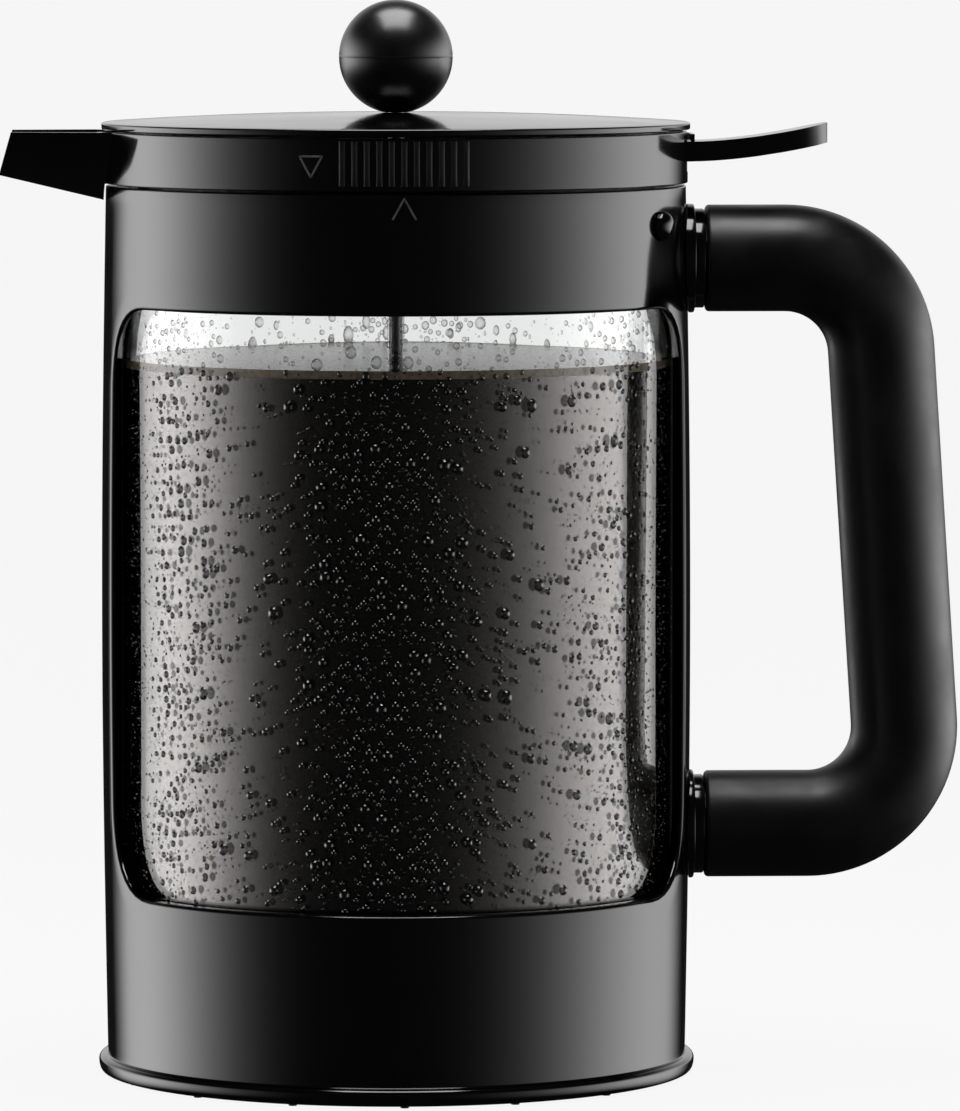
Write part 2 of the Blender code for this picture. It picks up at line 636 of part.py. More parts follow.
def make_handle():
    grip = tube("handle_grip", handle_path(GRIP_START_X), GRIP_RADIUS, GRIP_BEVEL_RESOLUTION, "soft_black")
    cut(grip, tube("grip_bore", handle_path(GRIP_START_X - OVERRUN), CORE_RADIUS + SEAT_GAP,
                   CORE_BEVEL_RESOLUTION))
    core = tube("handle_core", handle_path(CORE_START_X), CORE_RADIUS, CORE_BEVEL_RESOLUTION, "nylon")
    envelope = frame_envelope("frame_outside", SEAT_GAP)
    for name, height in (("upper", UPPER_ARM_Z), ("lower", LOWER_ARM_Z)):
        end = GRIP_START_X - SEAT_GAP
        bore = CORE_RADIUS + SEAT_GAP
        outline = [(COLLAR_NECK_RADIUS, end), (COLLAR_NECK_RADIUS, COLLAR_NECK_X),
                   (COLLAR_FLANGE_RADIUS, COLLAR_FLANGE_X), (COLLAR_FLANGE_RADIUS, FRAME_BORE),
                   (bore, FRAME_BORE), (bore, end)]
        collar = turned("handle_collar_" + name, outline, "gloss_black", 36)
        place_along_x(collar, height)
        cut(collar, envelope)
        screw_shape("handle_screw_" + name, height, material="steel")
        cut(core, screw_shape("core_hole_" + name, height, SEAT_GAP))


def make_pegs():
    seat = frame_radius(PEG_Z) + SEAT_GAP
    outline = [(PEG_DOME_RADIUS * sin(angle), seat + PEG_DOME_HEIGHT * cos(angle))
               for angle in (pi / 2 * i / ARC_STEPS for i in range(ARC_STEPS + 1))]
    outline += [(PEG_SHANK_RADIUS, seat), (PEG_SHANK_RADIUS, FRAME_BORE + SEAT_GAP),
                (0.0, FRAME_BORE + SEAT_GAP)]
    for name, side in (("front", -1), ("rear", 1)):
        peg = turned("frame_peg_" + name, outline, "gloss_black", 24, closed=False)
        peg.rotation_euler = (0.0, pi / 2, side * PEG_ANGLE)
        peg.location = (0.0, 0.0, PEG_Z)


def v_section(x_top, x_bottom, half_width, top, bottom, lift):
    """A V-shaped section across the spout, with its flat top raised by lift."""
    power = 1 / SPOUT_CORNER_POWER
    points = [(x_top, half_width, top + lift), (x_top, -half_width, top + lift)] if lift else []
    for i in range(SPOUT_SECTION_STEPS + 1):
        angle = pi * i / SPOUT_SECTION_STEPS
        side = -1 if angle < pi / 2 else 1
        across = side * half_width * abs(cos(angle)) ** (2 * power)
        depth = sin(angle) ** (2 * power)
        points.append((x_top + (x_bottom - x_top) * depth, across, top + (bottom - top) * depth))
    return points


def make_lid_ring():
    outline = [(RING_RADIUS, RING_TOP), (RING_RADIUS, RING_BOTTOM), (LEDGE_INNER, RING_BOTTOM),
               (LEDGE_INNER, LEDGE_TOP), (RING_INNER, LEDGE_TOP), (RING_INNER, RING_TOP)]
    made = turned("lid_ring", outline, "gloss_black")
    trough = loft("spout_body", [
        v_section(-SPOUT_ROOT_X, -SPOUT_ROOT_X, SPOUT_ROOT_HALF_WIDTH, RING_TOP, SPOUT_ROOT_BOTTOM, 0.0),
        v_section(-SPOUT_TIP_TOP_X, -SPOUT_TIP_BOTTOM_X, SPOUT_TIP_HALF_WIDTH, RING_TOP,
                  SPOUT_TIP_BOTTOM, 0.0)])
    cut(trough, frame_envelope("frame_outside_spout", SPOUT_FRAME_GAP))
    join(made, trough)
    trough_start = RING_RADIUS + SPOUT_ROOT_WALL
    reach = SPOUT_TIP_TOP_X - trough_start + OVERRUN
    slope = (SPOUT_TIP_BOTTOM - SPOUT_ROOT_BOTTOM) / (SPOUT_TIP_TOP_X - SPOUT_ROOT_X)
    floor = SPOUT_ROOT_BOTTOM + SPOUT_WALL + slope * (trough_start - SPOUT_ROOT_X)
    end_x = trough_start + reach + (SPOUT_TIP_BOTTOM_X - SPOUT_TIP_TOP_X)
    end_floor = floor + slope * (end_x - trough_start)
    channel = loft("spout_channel", [
        v_section(-trough_start, -trough_start, SPOUT_ROOT_HALF_WIDTH - SPOUT_WALL, RING_TOP, floor, OVERRUN),
        v_section(-end_x, -end_x, SPOUT_TIP_HALF_WIDTH - SPOUT_WALL, RING_TOP, end_floor, OVERRUN)])
    inlet_floor = CUP_FLANGE_TOP + SEAT_GAP
    inlet = loft("spout_inlet", [
        v_section(-x, -x, INLET_HALF_WIDTH, RING_TOP, inlet_floor, OVERRUN)
        for x in (RING_INNER - OVERRUN, trough_start + OVERRUN)])
    cut(made, channel, inlet)
    slot_half = TONGUE_HALF_WIDTH + 2 * SEAT_GAP
    slot_bottom = TONGUE_ROOT_Z - TONGUE_THICKNESS / 2 - LEVER_DROP_AT_WALL - SEAT_GAP
    cut(made, box("lever_slot", (RING_INNER - OVERRUN, -slot_half, slot_bottom),
                  (RING_RADIUS + OVERRUN, slot_half, RING_TOP + OVERRUN)))
    rib_low = RING_BOTTOM + RIB_BOTTOM_MARGIN
    rib_high = RING_TOP - RIB_END_MARGIN
    rib_radius = RING_RADIUS + (RIB_PROUD - FUSE_DEPTH) / 2
    size = Matrix.Diagonal((RIB_PROUD + FUSE_DEPTH, RIB_WIDTH, rib_high - rib_low, 1.0))
    middle = Matrix.Translation((rib_radius, 0.0, (rib_low + rib_high) / 2))
    shape = bmesh.new()
    for i in range(RIB_COUNT):
        angle = -pi / 2 + (i - (RIB_COUNT - 1) / 2) * RIB_PITCH
        bmesh.ops.create_cube(shape, size=1.0, matrix=Matrix.Rotation(angle, 4, "Z") @ middle @ size)
    join(made, from_bmesh("grip_ribs", shape))
    top = RING_TOP - LID_MARK_TOP_DROP
    corners = [(-MARK_HALF_WIDTH, top), (MARK_HALF_WIDTH, top), (0.0, top - MARK_HEIGHT)]
    cut(made, mark_cutter("lid_mark", RING_RADIUS, -pi / 2 - LID_MARK_ANGLE, corners, True))


def make_lid_cup():
    groove_radius = CUP_RADIUS - SEAL_GROOVE_DEPTH
    groove_top = SEAL_GROOVE_BOTTOM + SEAL_GROOVE_HEIGHT
    bore = BUSHING_RADIUS + SEAT_GAP
    outline = [(CUP_FLANGE_RADIUS, CUP_FLANGE_TOP), (CUP_FLANGE_RADIUS, CUP_FLANGE_TOP - CUP_FLANGE),
               (CUP_RADIUS, CUP_FLANGE_TOP - CUP_FLANGE), (CUP_RADIUS, groove_top),
               (groove_radius, groove_top), (groove_radius, SEAL_GROOVE_BOTTOM),
               (CUP_RADIUS, SEAL_GROOVE_BOTTOM), (CUP_RADIUS, CUP_BOTTOM), (bore, CUP_BOTTOM),
               (bore, BOSS_TOP), (BOSS_RADIUS, BOSS_TOP), (BOSS_RADIUS, CUP_FLOOR_TOP),
               (CUP_RADIUS - CUP_WALL, CUP_FLOOR_TOP), (CUP_RADIUS - CUP_WALL, CUP_FLANGE_TOP)]
    made = turned("lid_cup", outline, "nylon", 48)
    for side in (-1, 1):
        edges = sorted((side * POST_INNER_Y, side * (POST_INNER_Y + POST_THICKNESS)))
        join(made, box("lever_post_%d" % side,
                       (PIVOT_X - POST_HALF_WIDTH, edges[0], CUP_FLOOR_TOP - FUSE_DEPTH),
                       (PIVOT_X + POST_HALF_WIDTH, edges[1], PIVOT_Z + POST_TOP_MARGIN)))
    reach = POST_INNER_Y + POST_THICKNESS + OVERRUN
    cut(made,
        cylinder("pin_hole", PIN_RADIUS + SEAT_GAP, (PIVOT_X, -reach, PIVOT_Z), (PIVOT_X, reach, PIVOT_Z)),
        cylinder("pour_port", PORT_RADIUS, (PORT_X, 0.0, CUP_BOTTOM - OVERRUN),
                 (PORT_X, 0.0, CUP_FLOOR_TOP + OVERRUN)))
    ring("lid_seal", groove_radius + SEAT_GAP, GLASS_BORE - SEAT_GAP, SEAL_GROOVE_BOTTOM + SEAT_GAP,
         groove_top - SEAT_GAP, "silicone")
    flange_bottom = BOSS_TOP + SEAT_GAP
    turned("rod_bushing", [(BUSHING_FLANGE_RADIUS, flange_bottom + BUSHING_FLANGE),
                           (BUSHING_FLANGE_RADIUS, flange_bottom), (BUSHING_RADIUS, flange_bottom),
                           (BUSHING_RADIUS, CUP_BOTTOM), (ROD_BORE, CUP_BOTTOM),
                           (ROD_BORE, flange_bottom + BUSHING_FLANGE)], "silicone", SMALL_STEPS)


def disc_top(radius):
    return DISC_APEX - DISC_DOME_RISE * (radius / DISC_RADIUS) ** 2


def make_lid_disc():
    seat = DISC_RADIUS - DISC_SEAT_WIDTH
    radii = [ROD_BORE + (DISC_RADIUS - ROD_BORE) * i / DISC_POINTS for i in range(DISC_POINTS + 1)]
    under = [ROD_BORE + (seat - ROD_BORE) * i / DISC_POINTS for i in range(DISC_POINTS + 1)]
    outline = [(radius, disc_top(radius)) for radius in radii]
    outline += [(DISC_RADIUS, DISC_BOTTOM), (seat, DISC_BOTTOM)]
    outline += [(radius, max(DISC_BOTTOM, disc_top(radius) - DISC_THICKNESS))
                for radius in reversed(under[:-1])]
    turned("lid_disc", outline, "gloss_black")


def tongue_sections():
    sections = []
    half = TONGUE_THICKNESS / 2
    reach = TONGUE_TIP_X - TONGUE_ROOT_X
    places = [PIVOT_X]
    places += [TONGUE_ROOT_X + reach * i / TONGUE_STEPS for i in range(TONGUE_STEPS + 1)]
    for x in places:
        run = max(0.0, (x - TONGUE_ROOT_X) / reach)
        centre = TONGUE_ROOT_Z + TONGUE_RISE * run ** TONGUE_CURVE_POWER
        nose = max(0.0, (x - TONGUE_TIP_X + TONGUE_NOSE_LENGTH) / TONGUE_NOSE_LENGTH)
        width = TONGUE_HALF_WIDTH * (TONGUE_NOSE_SHARE + (1 - TONGUE_NOSE_SHARE) * sqrt(1 - nose ** 2))
        sections.append([(x, -width, centre - half), (x, width, centre - half),
                         (x, width, centre + half), (x, -width, centre + half)])
    return sections


def make_lever():
    lever = loft("pour_lever", tongue_sections(), "gloss_black")
    arm_bottom = ARM_TOP - ARM_THICKNESS
    barrel = LEVER_BARREL_HALF_LENGTH
    join(lever,
         box("lever_stop", (LEVER_STOP_X, -TONGUE_HALF_WIDTH, TONGUE_ROOT_Z),
             (LEVER_STOP_X + LEVER_STOP_LENGTH, TONGUE_HALF_WIDTH, DISC_BOTTOM - LEVER_STOP_TOP_GAP)),
         cylinder("lever_barrel", BARREL_RADIUS, (PIVOT_X, -barrel, PIVOT_Z), (PIVOT_X, barrel, PIVOT_Z)),
         box("lever_web", (PIVOT_X - BARREL_RADIUS, -ARM_HALF_WIDTH, arm_bottom),
             (PIVOT_X + BARREL_RADIUS, ARM_HALF_WIDTH, PIVOT_Z)),
         box("lever_arm", (PORT_X, -ARM_HALF_WIDTH, arm_bottom), (PIVOT_X, ARM_HALF_WIDTH, ARM_TOP)),
         cylinder("lever_loop", LOOP_OUTER, (0.0, 0.0, arm_bottom), (0.0, 0.0, ARM_TOP)),
         cylinder("lever_finger", FINGER_OUTER, (PORT_X, 0.0, arm_bottom), (PORT_X, 0.0, ARM_TOP)))
    spring_end = LEVER_BARREL_HALF_LENGTH
    cut(lever,
        cylinder("loop_hole", LOOP_INNER, (0.0, 0.0, arm_bottom - OVERRUN),
                 (0.0, 0.0, ARM_TOP + OVERRUN)),
        cylinder("finger_hole", FINGER_INNER, (PORT_X, 0.0, arm_bottom - OVERRUN),
                 (PORT_X, 0.0, ARM_TOP + OVERRUN)),
        cylinder("barrel_hole", PIN_RADIUS + SEAT_GAP, (PIVOT_X, -POST_INNER_Y, PIVOT_Z),
                 (PIVOT_X, POST_INNER_Y, PIVOT_Z)),
        box("spring_room", (PIVOT_X - OVERRUN, spring_end, PIVOT_Z - BARREL_RADIUS - OVERRUN),
            (PIVOT_X + BARREL_RADIUS, POST_INNER_Y, PIVOT_Z + BARREL_RADIUS + OVERRUN)))
    reach = POST_INNER_Y + POST_THICKNESS
    cylinder("lever_pin", PIN_RADIUS, (PIVOT_X, -reach, PIVOT_Z), (PIVOT_X, reach, PIVOT_Z), "steel")


def make_lever_spring():
    """A torsion spring round the lever's pin, with one end under the tongue and one on the cup's floor."""
    points = []
    first_y = LEVER_BARREL_HALF_LENGTH + SPRING_WIRE + SEAT_GAP
    under_tongue = TONGUE_ROOT_Z - TONGUE_THICKNESS / 2 - SEAT_GAP - SPRING_WIRE
    points.append((PIVOT_X + SPRING_ARM_LENGTH, first_y, under_tongue))
    count = ceil(SPRING_TURNS * SPRING_TURN_POINTS)
    for i in range(count + 1):
        turn = SPRING_TURNS * i / count
        angle = -pi / 2 - 2 * pi * turn
        points.append((PIVOT_X + SPRING_RADIUS * cos(angle), first_y + SPRING_PITCH * turn,
                       PIVOT_Z + SPRING_RADIUS * sin(angle)))
    points.append((points[-1][0], points[-1][1], CUP_FLOOR_TOP + SEAT_GAP + SPRING_WIRE))
    tube("lever_spring", points, SPRING_WIRE, SPRING_BEVEL_RESOLUTION, "steel")


def make_valve():
    bottom = CUP_FLOOR_TOP + SEAT_GAP
    head_bottom = ARM_TOP + SEAT_GAP
    outline = [(0.0, head_bottom + VALVE_HEAD), (VALVE_HEAD_RADIUS, head_bottom + VALVE_HEAD),
               (VALVE_HEAD_RADIUS, head_bottom), (VALVE_STEM_RADIUS, head_bottom),
               (VALVE_STEM_RADIUS, bottom + VALVE_THICKNESS), (VALVE_RADIUS, bottom + VALVE_THICKNESS),
               (VALVE_RADIUS, bottom), (0.0, bottom)]
    valve = turned("pour_valve", outline, "silicone", SMALL_STEPS, closed=False)
    valve.location = (PORT_X, 0.0, 0.0)


def make_knob():
    flat = acos((KNOB_RADIUS - KNOB_SINK) / KNOB_RADIUS)
    outline = []
    for i in range(KNOB_STEPS + 1):
        angle = (pi - flat) * i / KNOB_STEPS
        outline.append((KNOB_RADIUS * sin(angle), KNOB_CENTRE + KNOB_RADIUS * cos(angle)))
    outline += [(ROD_BORE, KNOB_BOTTOM), (ROD_BORE, ROD_TOP + SEAT_GAP), (0.0, ROD_TOP + SEAT_GAP)]
    outline[0] = (0.0, outline[0][1])
    turned("plunger_knob", outline, "gloss_black", 28, closed=False)
    cylinder("plunger_rod", ROD_RADIUS, (0.0, 0.0, ROD_BOTTOM), (0.0, 0.0, ROD_TOP), "steel", 24)


def make_filter():
    nut_top = CROSS_PLATE_BOTTOM - SEAT_GAP
    nut_bottom = nut_top - NUT_HEIGHT
    nut = cylinder("filter_nut", NUT_RADIUS, (0.0, 0.0, nut_bottom), (0.0, 0.0, nut_top), "steel", 6)
    cut(nut, cylinder("nut_bore", ROD_BORE, (0.0, 0.0, nut_bottom - OVERRUN), (0.0, 0.0, nut_top + OVERRUN)))
    cross = ring("filter_cross_plate", ROD_BORE, CROSS_PLATE_RADIUS, CROSS_PLATE_BOTTOM,
                 CROSS_PLATE_BOTTOM + CROSS_PLATE_THICKNESS, "steel", 48)
    for i in range(CROSS_HOLE_COUNT):
        angle = 2 * pi * i / CROSS_HOLE_COUNT + HOLE_TURN
        x, y = CROSS_HOLE_PLACE * cos(angle), CROSS_HOLE_PLACE * sin(angle)
        cut(cross, cylinder("cross_hole_%d" % i, CROSS_HOLE_RADIUS, (x, y, CROSS_PLATE_BOTTOM - OVERRUN),
                            (x, y, MESH_BOTTOM + OVERRUN), steps=16))
    ring("filter_mesh", ROD_BORE, MESH_RADIUS, MESH_BOTTOM, MESH_BOTTOM + MESH_THICKNESS, "steel", 48)
    gasket_top = GASKET_BOTTOM + GASKET_HEIGHT
    ring("filter_gasket", GASKET_OUTER - GASKET_WIDTH, GASKET_OUTER, GASKET_BOTTOM, gasket_top, "silicone")
    ring("filter_spacer", ROD_BORE, SPACER_RADIUS, GASKET_BOTTOM, gasket_top, "steel", SMALL_STEPS)
    spreader = ring("filter_spreader", ROD_BORE, SPREADER_RADIUS, SPREADER_BOTTOM,
                    SPREADER_BOTTOM + SPREADER_THICKNESS, "steel", 48)
    for i in range(SPREADER_HOLE_COUNT):
        angle = 2 * pi * i / SPREADER_HOLE_COUNT + HOLE_TURN
        x, y = SPREADER_HOLE_PLACE * cos(angle), SPREADER_HOLE_PLACE * sin(angle)
        cut(spreader, cylinder("spreader_hole_%d" % i, SPREADER_HOLE_RADIUS,
                               (x, y, SPREADER_BOTTOM - OVERRUN), (x, y, ROD_COLLAR_BOTTOM + OVERRUN),
                               steps=10))
    ring("rod_collar", ROD_BORE, SPACER_RADIUS, ROD_COLLAR_BOTTOM, ROD_COLLAR_BOTTOM + ROD_COLLAR_HEIGHT,
         "steel", SMALL_STEPS)


def main():
    global parts, cutters
    clear_scene()
    parts = bpy.data.collections.new("cold_brew_coffee_maker")
    cutters = bpy.data.collections.new("cutters")
    bpy.context.scene.collection.children.link(parts)
    bpy.context.scene.collection.children.link(cutters)
    make_materials()
    make_frame()
    make_foot_ring()
    make_beaker()
    make_handle()
    make_pegs()
    make_lid_ring()
    make_lid_cup()
    make_lid_disc()
    make_lever()
    make_lever_spring()
    make_valve()
    make_knob()
    make_filter()


main()
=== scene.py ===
# Looks of the press-style cold brew coffee maker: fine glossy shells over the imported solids, coffee,
# condensation, studio light and the camera. Metres, +Z up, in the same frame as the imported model.

import bpy
import bmesh
import random
from math import acos, atan2, cos, degrees, exp, pi, radians, sin, sqrt
from mathutils import Matrix, Vector


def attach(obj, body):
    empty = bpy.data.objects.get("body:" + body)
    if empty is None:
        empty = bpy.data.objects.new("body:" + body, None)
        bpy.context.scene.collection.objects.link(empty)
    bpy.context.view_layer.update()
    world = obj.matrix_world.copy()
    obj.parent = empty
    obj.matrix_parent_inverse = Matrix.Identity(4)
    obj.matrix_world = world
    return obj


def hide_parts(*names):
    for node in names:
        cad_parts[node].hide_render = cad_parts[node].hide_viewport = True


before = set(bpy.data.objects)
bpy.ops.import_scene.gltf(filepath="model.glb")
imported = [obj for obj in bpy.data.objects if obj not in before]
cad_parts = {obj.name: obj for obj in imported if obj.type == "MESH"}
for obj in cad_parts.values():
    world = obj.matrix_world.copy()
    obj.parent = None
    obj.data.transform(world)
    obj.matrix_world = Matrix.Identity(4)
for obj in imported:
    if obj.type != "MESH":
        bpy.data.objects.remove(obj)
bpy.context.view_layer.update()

MM = 0.001
MERGE_DISTANCE = 0.0005 * MM

# Frame, as in the solids
FOOT_RADIUS = 61.3 * MM
TOP_RADIUS = 61.2 * MM
BARREL_SWELL = 1.05 * MM
FRAME_BORE = 58.9 * MM
FRAME_BOTTOM = 0.5 * MM
FRAME_TOP = 188.1 * MM
FLOOR_TOP = 3.5 * MM
FLARE_TOP = 5.2 * MM
LIP_RADIUS = 63.2 * MM
LIP_SHOULDER = 4.1 * MM
LIP_WAIST = 2.8 * MM
LIP_UPPER_POWER = 0.9
LIP_LOWER_POWER = 0.8
LIP_UPPER_STEPS = 12
LIP_LOWER_STEPS = 8
CREASE_ROUND = 0.3 * MM
GROOVE_OUTER = 62.0 * MM
GROOVE_INNER = 58.0 * MM
GROOVE_TOP = 1.9 * MM
WINDOW_BOTTOM = 39.8 * MM
WINDOW_TOP = 163.1 * MM
WINDOW_HALF_ANGLE = radians(75.5)
WINDOW_TOP_CORNER = 16.0 * MM
WINDOW_BOTTOM_CORNER = 18.5 * MM
WINDOW_FILLET = 0.8 * MM
REVEAL_STRETCH = 1.06
EDGE_FILLET = 0.35 * MM
MARK_HALF_WIDTH = 2.4 * MM
MARK_HEIGHT = 4.3 * MM
MARK_DROP = 0.9 * MM
MARK_BEAD = 0.24 * MM

# Glass, coffee and drops
GLASS_RADIUS = 58.2 * MM
GLASS_WALL = 2.0 * MM
GLASS_BOTTOM = 7.3 * MM
GLASS_TOP = 186.6 * MM
GLASS_FLOOR = 2.6 * MM
GLASS_CORNER = 6.0 * MM
COFFEE_LEVEL = 151.6 * MM
WET_DEPTH = 0.04 * MM
FOAM_THICKNESS = 1.6 * MM
FOAM_GAP = 0.02 * MM
FOAM_RIM_RISE = 0.12 * MM
FOAM_RIM_WIDTH = 0.4 * MM
FOAM_SLOPE_RISE = 0.03 * MM
FOAM_SLOPE_WIDTH = 1.5 * MM

# Handle
GRIP_RADIUS = 11.3 * MM
CORE_RADIUS = 8.3 * MM
BEND_RADIUS = 20.56 * MM
UPPER_ARM_Z = 172.5 * MM
LOWER_ARM_Z = 52.3 * MM
UPPER_BEND_X = 82.3 * MM
LOWER_BEND_X = 87.4 * MM
GRIP_START_X = 65.4 * MM
GRIP_EDGE = 0.8 * MM
COLLAR_FLANGE_RADIUS = 11.5 * MM
COLLAR_NECK_RADIUS = 10.5 * MM
COLLAR_NECK_X = 63.0 * MM
COLLAR_END_X = 65.1 * MM
COLLAR_SEAT_STEP = 0.2 * MM
PEG_ANGLE = radians(27.5)
PEG_Z = 180.3 * MM
PEG_RADIUS = 3.1 * MM
PEG_HEIGHT = 2.4 * MM
PEG_FOOT_SHARE = 0.97
PEG_SINK = 0.15 * MM
PEG_SHANK_RADIUS = 1.5 * MM
SEAT_GAP = 0.3 * MM

# Lid
RING_RADIUS = 61.6 * MM
RING_INNER = 59.1 * MM
RING_BOTTOM = 188.6 * MM
RING_TOP = 199.5 * MM
LEDGE_TOP = 189.8 * MM
LEDGE_INNER = 55.5 * MM
RING_EDGE = 0.3 * MM
RING_INNER_EDGE = 0.2 * MM
RING_BEVEL = 0.25 * MM
RIB_COUNT = 11
RIB_PITCH = radians(2.38)
RIB_HALF_WIDTH = 0.68 * MM
RIB_PROUD = 0.5 * MM
RIB_SINK = 0.05 * MM
RIB_ROOT_DEPTH = 0.3 * MM
RIB_CURVE_POWER = 0.7
RIB_END_SHARE = 0.35
RIB_BOTTOM = 189.7 * MM
RIB_TOP = 198.9 * MM
LID_MARK_ANGLE = radians(18.0)
LID_MARK_DROP = 3.7 * MM
SPOUT_ROOT_X = 59.3 * MM
SPOUT_TIP_TOP_X = 81.0 * MM
SPOUT_TIP_BOTTOM_X = 83.7 * MM
SPOUT_ROOT_HALF_WIDTH = 13.9 * MM
SPOUT_TIP_HALF_WIDTH = 11.0 * MM
SPOUT_ROOT_BOTTOM = 184.4 * MM
SPOUT_TIP_BOTTOM = 190.2 * MM
SPOUT_WALL = 2.0 * MM
SPOUT_ROOT_WALL = 1.5 * MM
SPOUT_CORNER_POWER = 1.25
SPOUT_FRAME_GAP = 0.4 * MM
INLET_HALF_WIDTH = 10.0 * MM
INLET_FLOOR = 191.4 * MM
SLOT_HALF_WIDTH = 7.6 * MM
SLOT_BOTTOM = 190.9 * MM
DISC_RADIUS = 62.1 * MM
DISC_BOTTOM = 199.8 * MM
DISC_EDGE_TOP = 201.3 * MM
DISC_APEX = 203.35 * MM
DISC_THICKNESS = 1.6 * MM
DISC_SEAT = 57.6 * MM
DISC_EDGE = 0.4 * MM
LEVER_BEVEL = 0.75 * MM
ROD_BORE = 2.1 * MM
KNOB_RADIUS = 12.0 * MM
KNOB_CENTRE = 215.1 * MM
KNOB_BOTTOM = 203.4 * MM
KNOB_SEAM_RISE = 0.03 * MM
KNOB_SEAM_HALF = 0.09 * MM
KNOB_SOCKET = 9.9 * MM
OVERRUN = 2.0 * MM

# Camera: where the photograph was taken from
CAMERA_DISTANCE = 1.85
CAMERA_HEIGHT = 0.249
CAMERA_AZIMUTH = radians(-1.6)
CAMERA_LENS = 283.8
VIEW_CENTRE_RIGHT = 17.75 * MM
VIEW_CENTRE_HEIGHT = 109.55 * MM


def make_nodes(name):
    made = bpy.data.materials.new(name)
    made.use_nodes = True
    tree = made.node_tree
    return made, tree, tree.nodes["Principled BSDF"]


def noise_node(tree, scale, detail=2.0, roughness=0.5):
    place = tree.nodes.new("ShaderNodeTexCoord")
    made = tree.nodes.new("ShaderNodeTexNoise")
    made.inputs["Scale"].default_value = scale
    made.inputs["Detail"].default_value = detail
    made.inputs["Roughness"].default_value = roughness
    tree.links.new(place.outputs["Object"], made.inputs["Vector"])
    return made


def map_range(tree, source, low, high, start=0.35, end=0.65):
    made = tree.nodes.new("ShaderNodeMapRange")
    made.inputs["From Min"].default_value = start
    made.inputs["From Max"].default_value = end
    made.inputs["To Min"].default_value = low
    made.inputs["To Max"].default_value = high
    tree.links.new(source, made.inputs["Value"])
    return made.outputs["Result"]


def colour_ramp(tree, source, low, high, start=0.35, end=0.65):
    made = tree.nodes.new("ShaderNodeValToRGB")
    made.color_ramp.elements[0].position = start
    made.color_ramp.elements[0].color = (*low, 1.0)
    made.color_ramp.elements[1].position = end
    made.color_ramp.elements[1].color = (*high, 1.0)
    tree.links.new(source, made.inputs["Fac"])
    return made.outputs["Color"]


def bump(tree, shader, source, distance, strength=1.0):
    made = tree.nodes.new("ShaderNodeBump")
    made.inputs["Distance"].default_value = distance
    made.inputs["Strength"].default_value = strength
    tree.links.new(source, made.inputs["Height"])
    tree.links.new(made.outputs["Normal"], shader.inputs["Normal"])


def tint(tree, shader, source, low, high, start=0.35, end=0.65):
    tree.links.new(colour_ramp(tree, source, low, high, start, end), shader.inputs["Base Color"])


def vary_roughness(tree, shader, source, low, high):
    tree.links.new(map_range(tree, source, low, high), shader.inputs["Roughness"])


def gloss_black():
    """Polished moulded plastic: faint unevenness in its gloss."""
    made, tree, shader = make_nodes("gloss_black")
    shader.inputs["Specular IOR Level"].default_value = 1.0
    patches = noise_node(tree, 45.0, 3.0)
    tint(tree, shader, patches.outputs["Fac"], (0.0022, 0.0022, 0.0024), (0.0032, 0.0032, 0.0034))
    vary_roughness(tree, shader, patches.outputs["Fac"], 0.07, 0.12)
    ripple = noise_node(tree, 70.0, 1.0)
    bump(tree, shader, ripple.outputs["Fac"], 0.012 * MM, 0.5)
    return made


def knob_black():
    """The ball's plastic, a little less polished than the frame's."""
    made, tree, shader = make_nodes("knob_black")
    shader.inputs["Specular IOR Level"].default_value = 1.0
    patches = noise_node(tree, 120.0, 3.0)
    tint(tree, shader, patches.outputs["Fac"], (0.005, 0.005, 0.005), (0.0065, 0.0065, 0.0065))
    vary_roughness(tree, shader, patches.outputs["Fac"], 0.26, 0.32)
    return made


def satin_black():
    """The grip ribs' duller plastic."""
    made, tree, shader = make_nodes("satin_black")
    grain = noise_node(tree, 500.0, 3.0)
    tint(tree, shader, grain.outputs["Fac"], (0.014, 0.014, 0.014), (0.02, 0.02, 0.02))
    vary_roughness(tree, shader, grain.outputs["Fac"], 0.36, 0.44)
    return made


def painted_highlight_line():
    """The moulded marks' duller plastic, coloured grey as a painted highlight so that the fine lines show
    the light they catch.
    """
    made, tree, shader = make_nodes("painted_highlight_line")
    highlight_patches = noise_node(tree, 900.0, 3.0)
    # Painted highlight: the grey tone stands in for light caught by the lines; its patches vary at random.
    tint(tree, shader, highlight_patches.outputs["Fac"], (0.11, 0.11, 0.11), (0.18, 0.18, 0.18))
    shader.inputs["Roughness"].default_value = 0.45
    return made


def soft_black():
    """Soft-touch rubberised plastic: a fine skin grain under a broad, dull sheen."""
    made, tree, shader = make_nodes("soft_black")
    shader.inputs["Specular IOR Level"].default_value = 1.0
    clouds = noise_node(tree, 60.0, 4.0, 0.6)
    tint(tree, shader, clouds.outputs["Fac"], (0.0032, 0.0032, 0.0034), (0.0052, 0.0052, 0.0054))
    vary_roughness(tree, shader, clouds.outputs["Fac"], 0.31, 0.46)
    grain = noise_node(tree, 2600.0, 2.0)
    bump(tree, shader, grain.outputs["Fac"], 0.02 * MM, 0.35)
    return made


def clear_glass():
    made, tree, shader = make_nodes("clear_glass")
    shader.inputs["Base Color"].default_value = (0.985, 0.99, 0.988, 1.0)
    shader.inputs["Transmission Weight"].default_value = 1.0
    shader.inputs["IOR"].default_value = 1.47
    streaks = noise_node(tree, 14.0, 2.0)
    vary_roughness(tree, shader, streaks.outputs["Fac"], 0.0, 0.03)
    return made


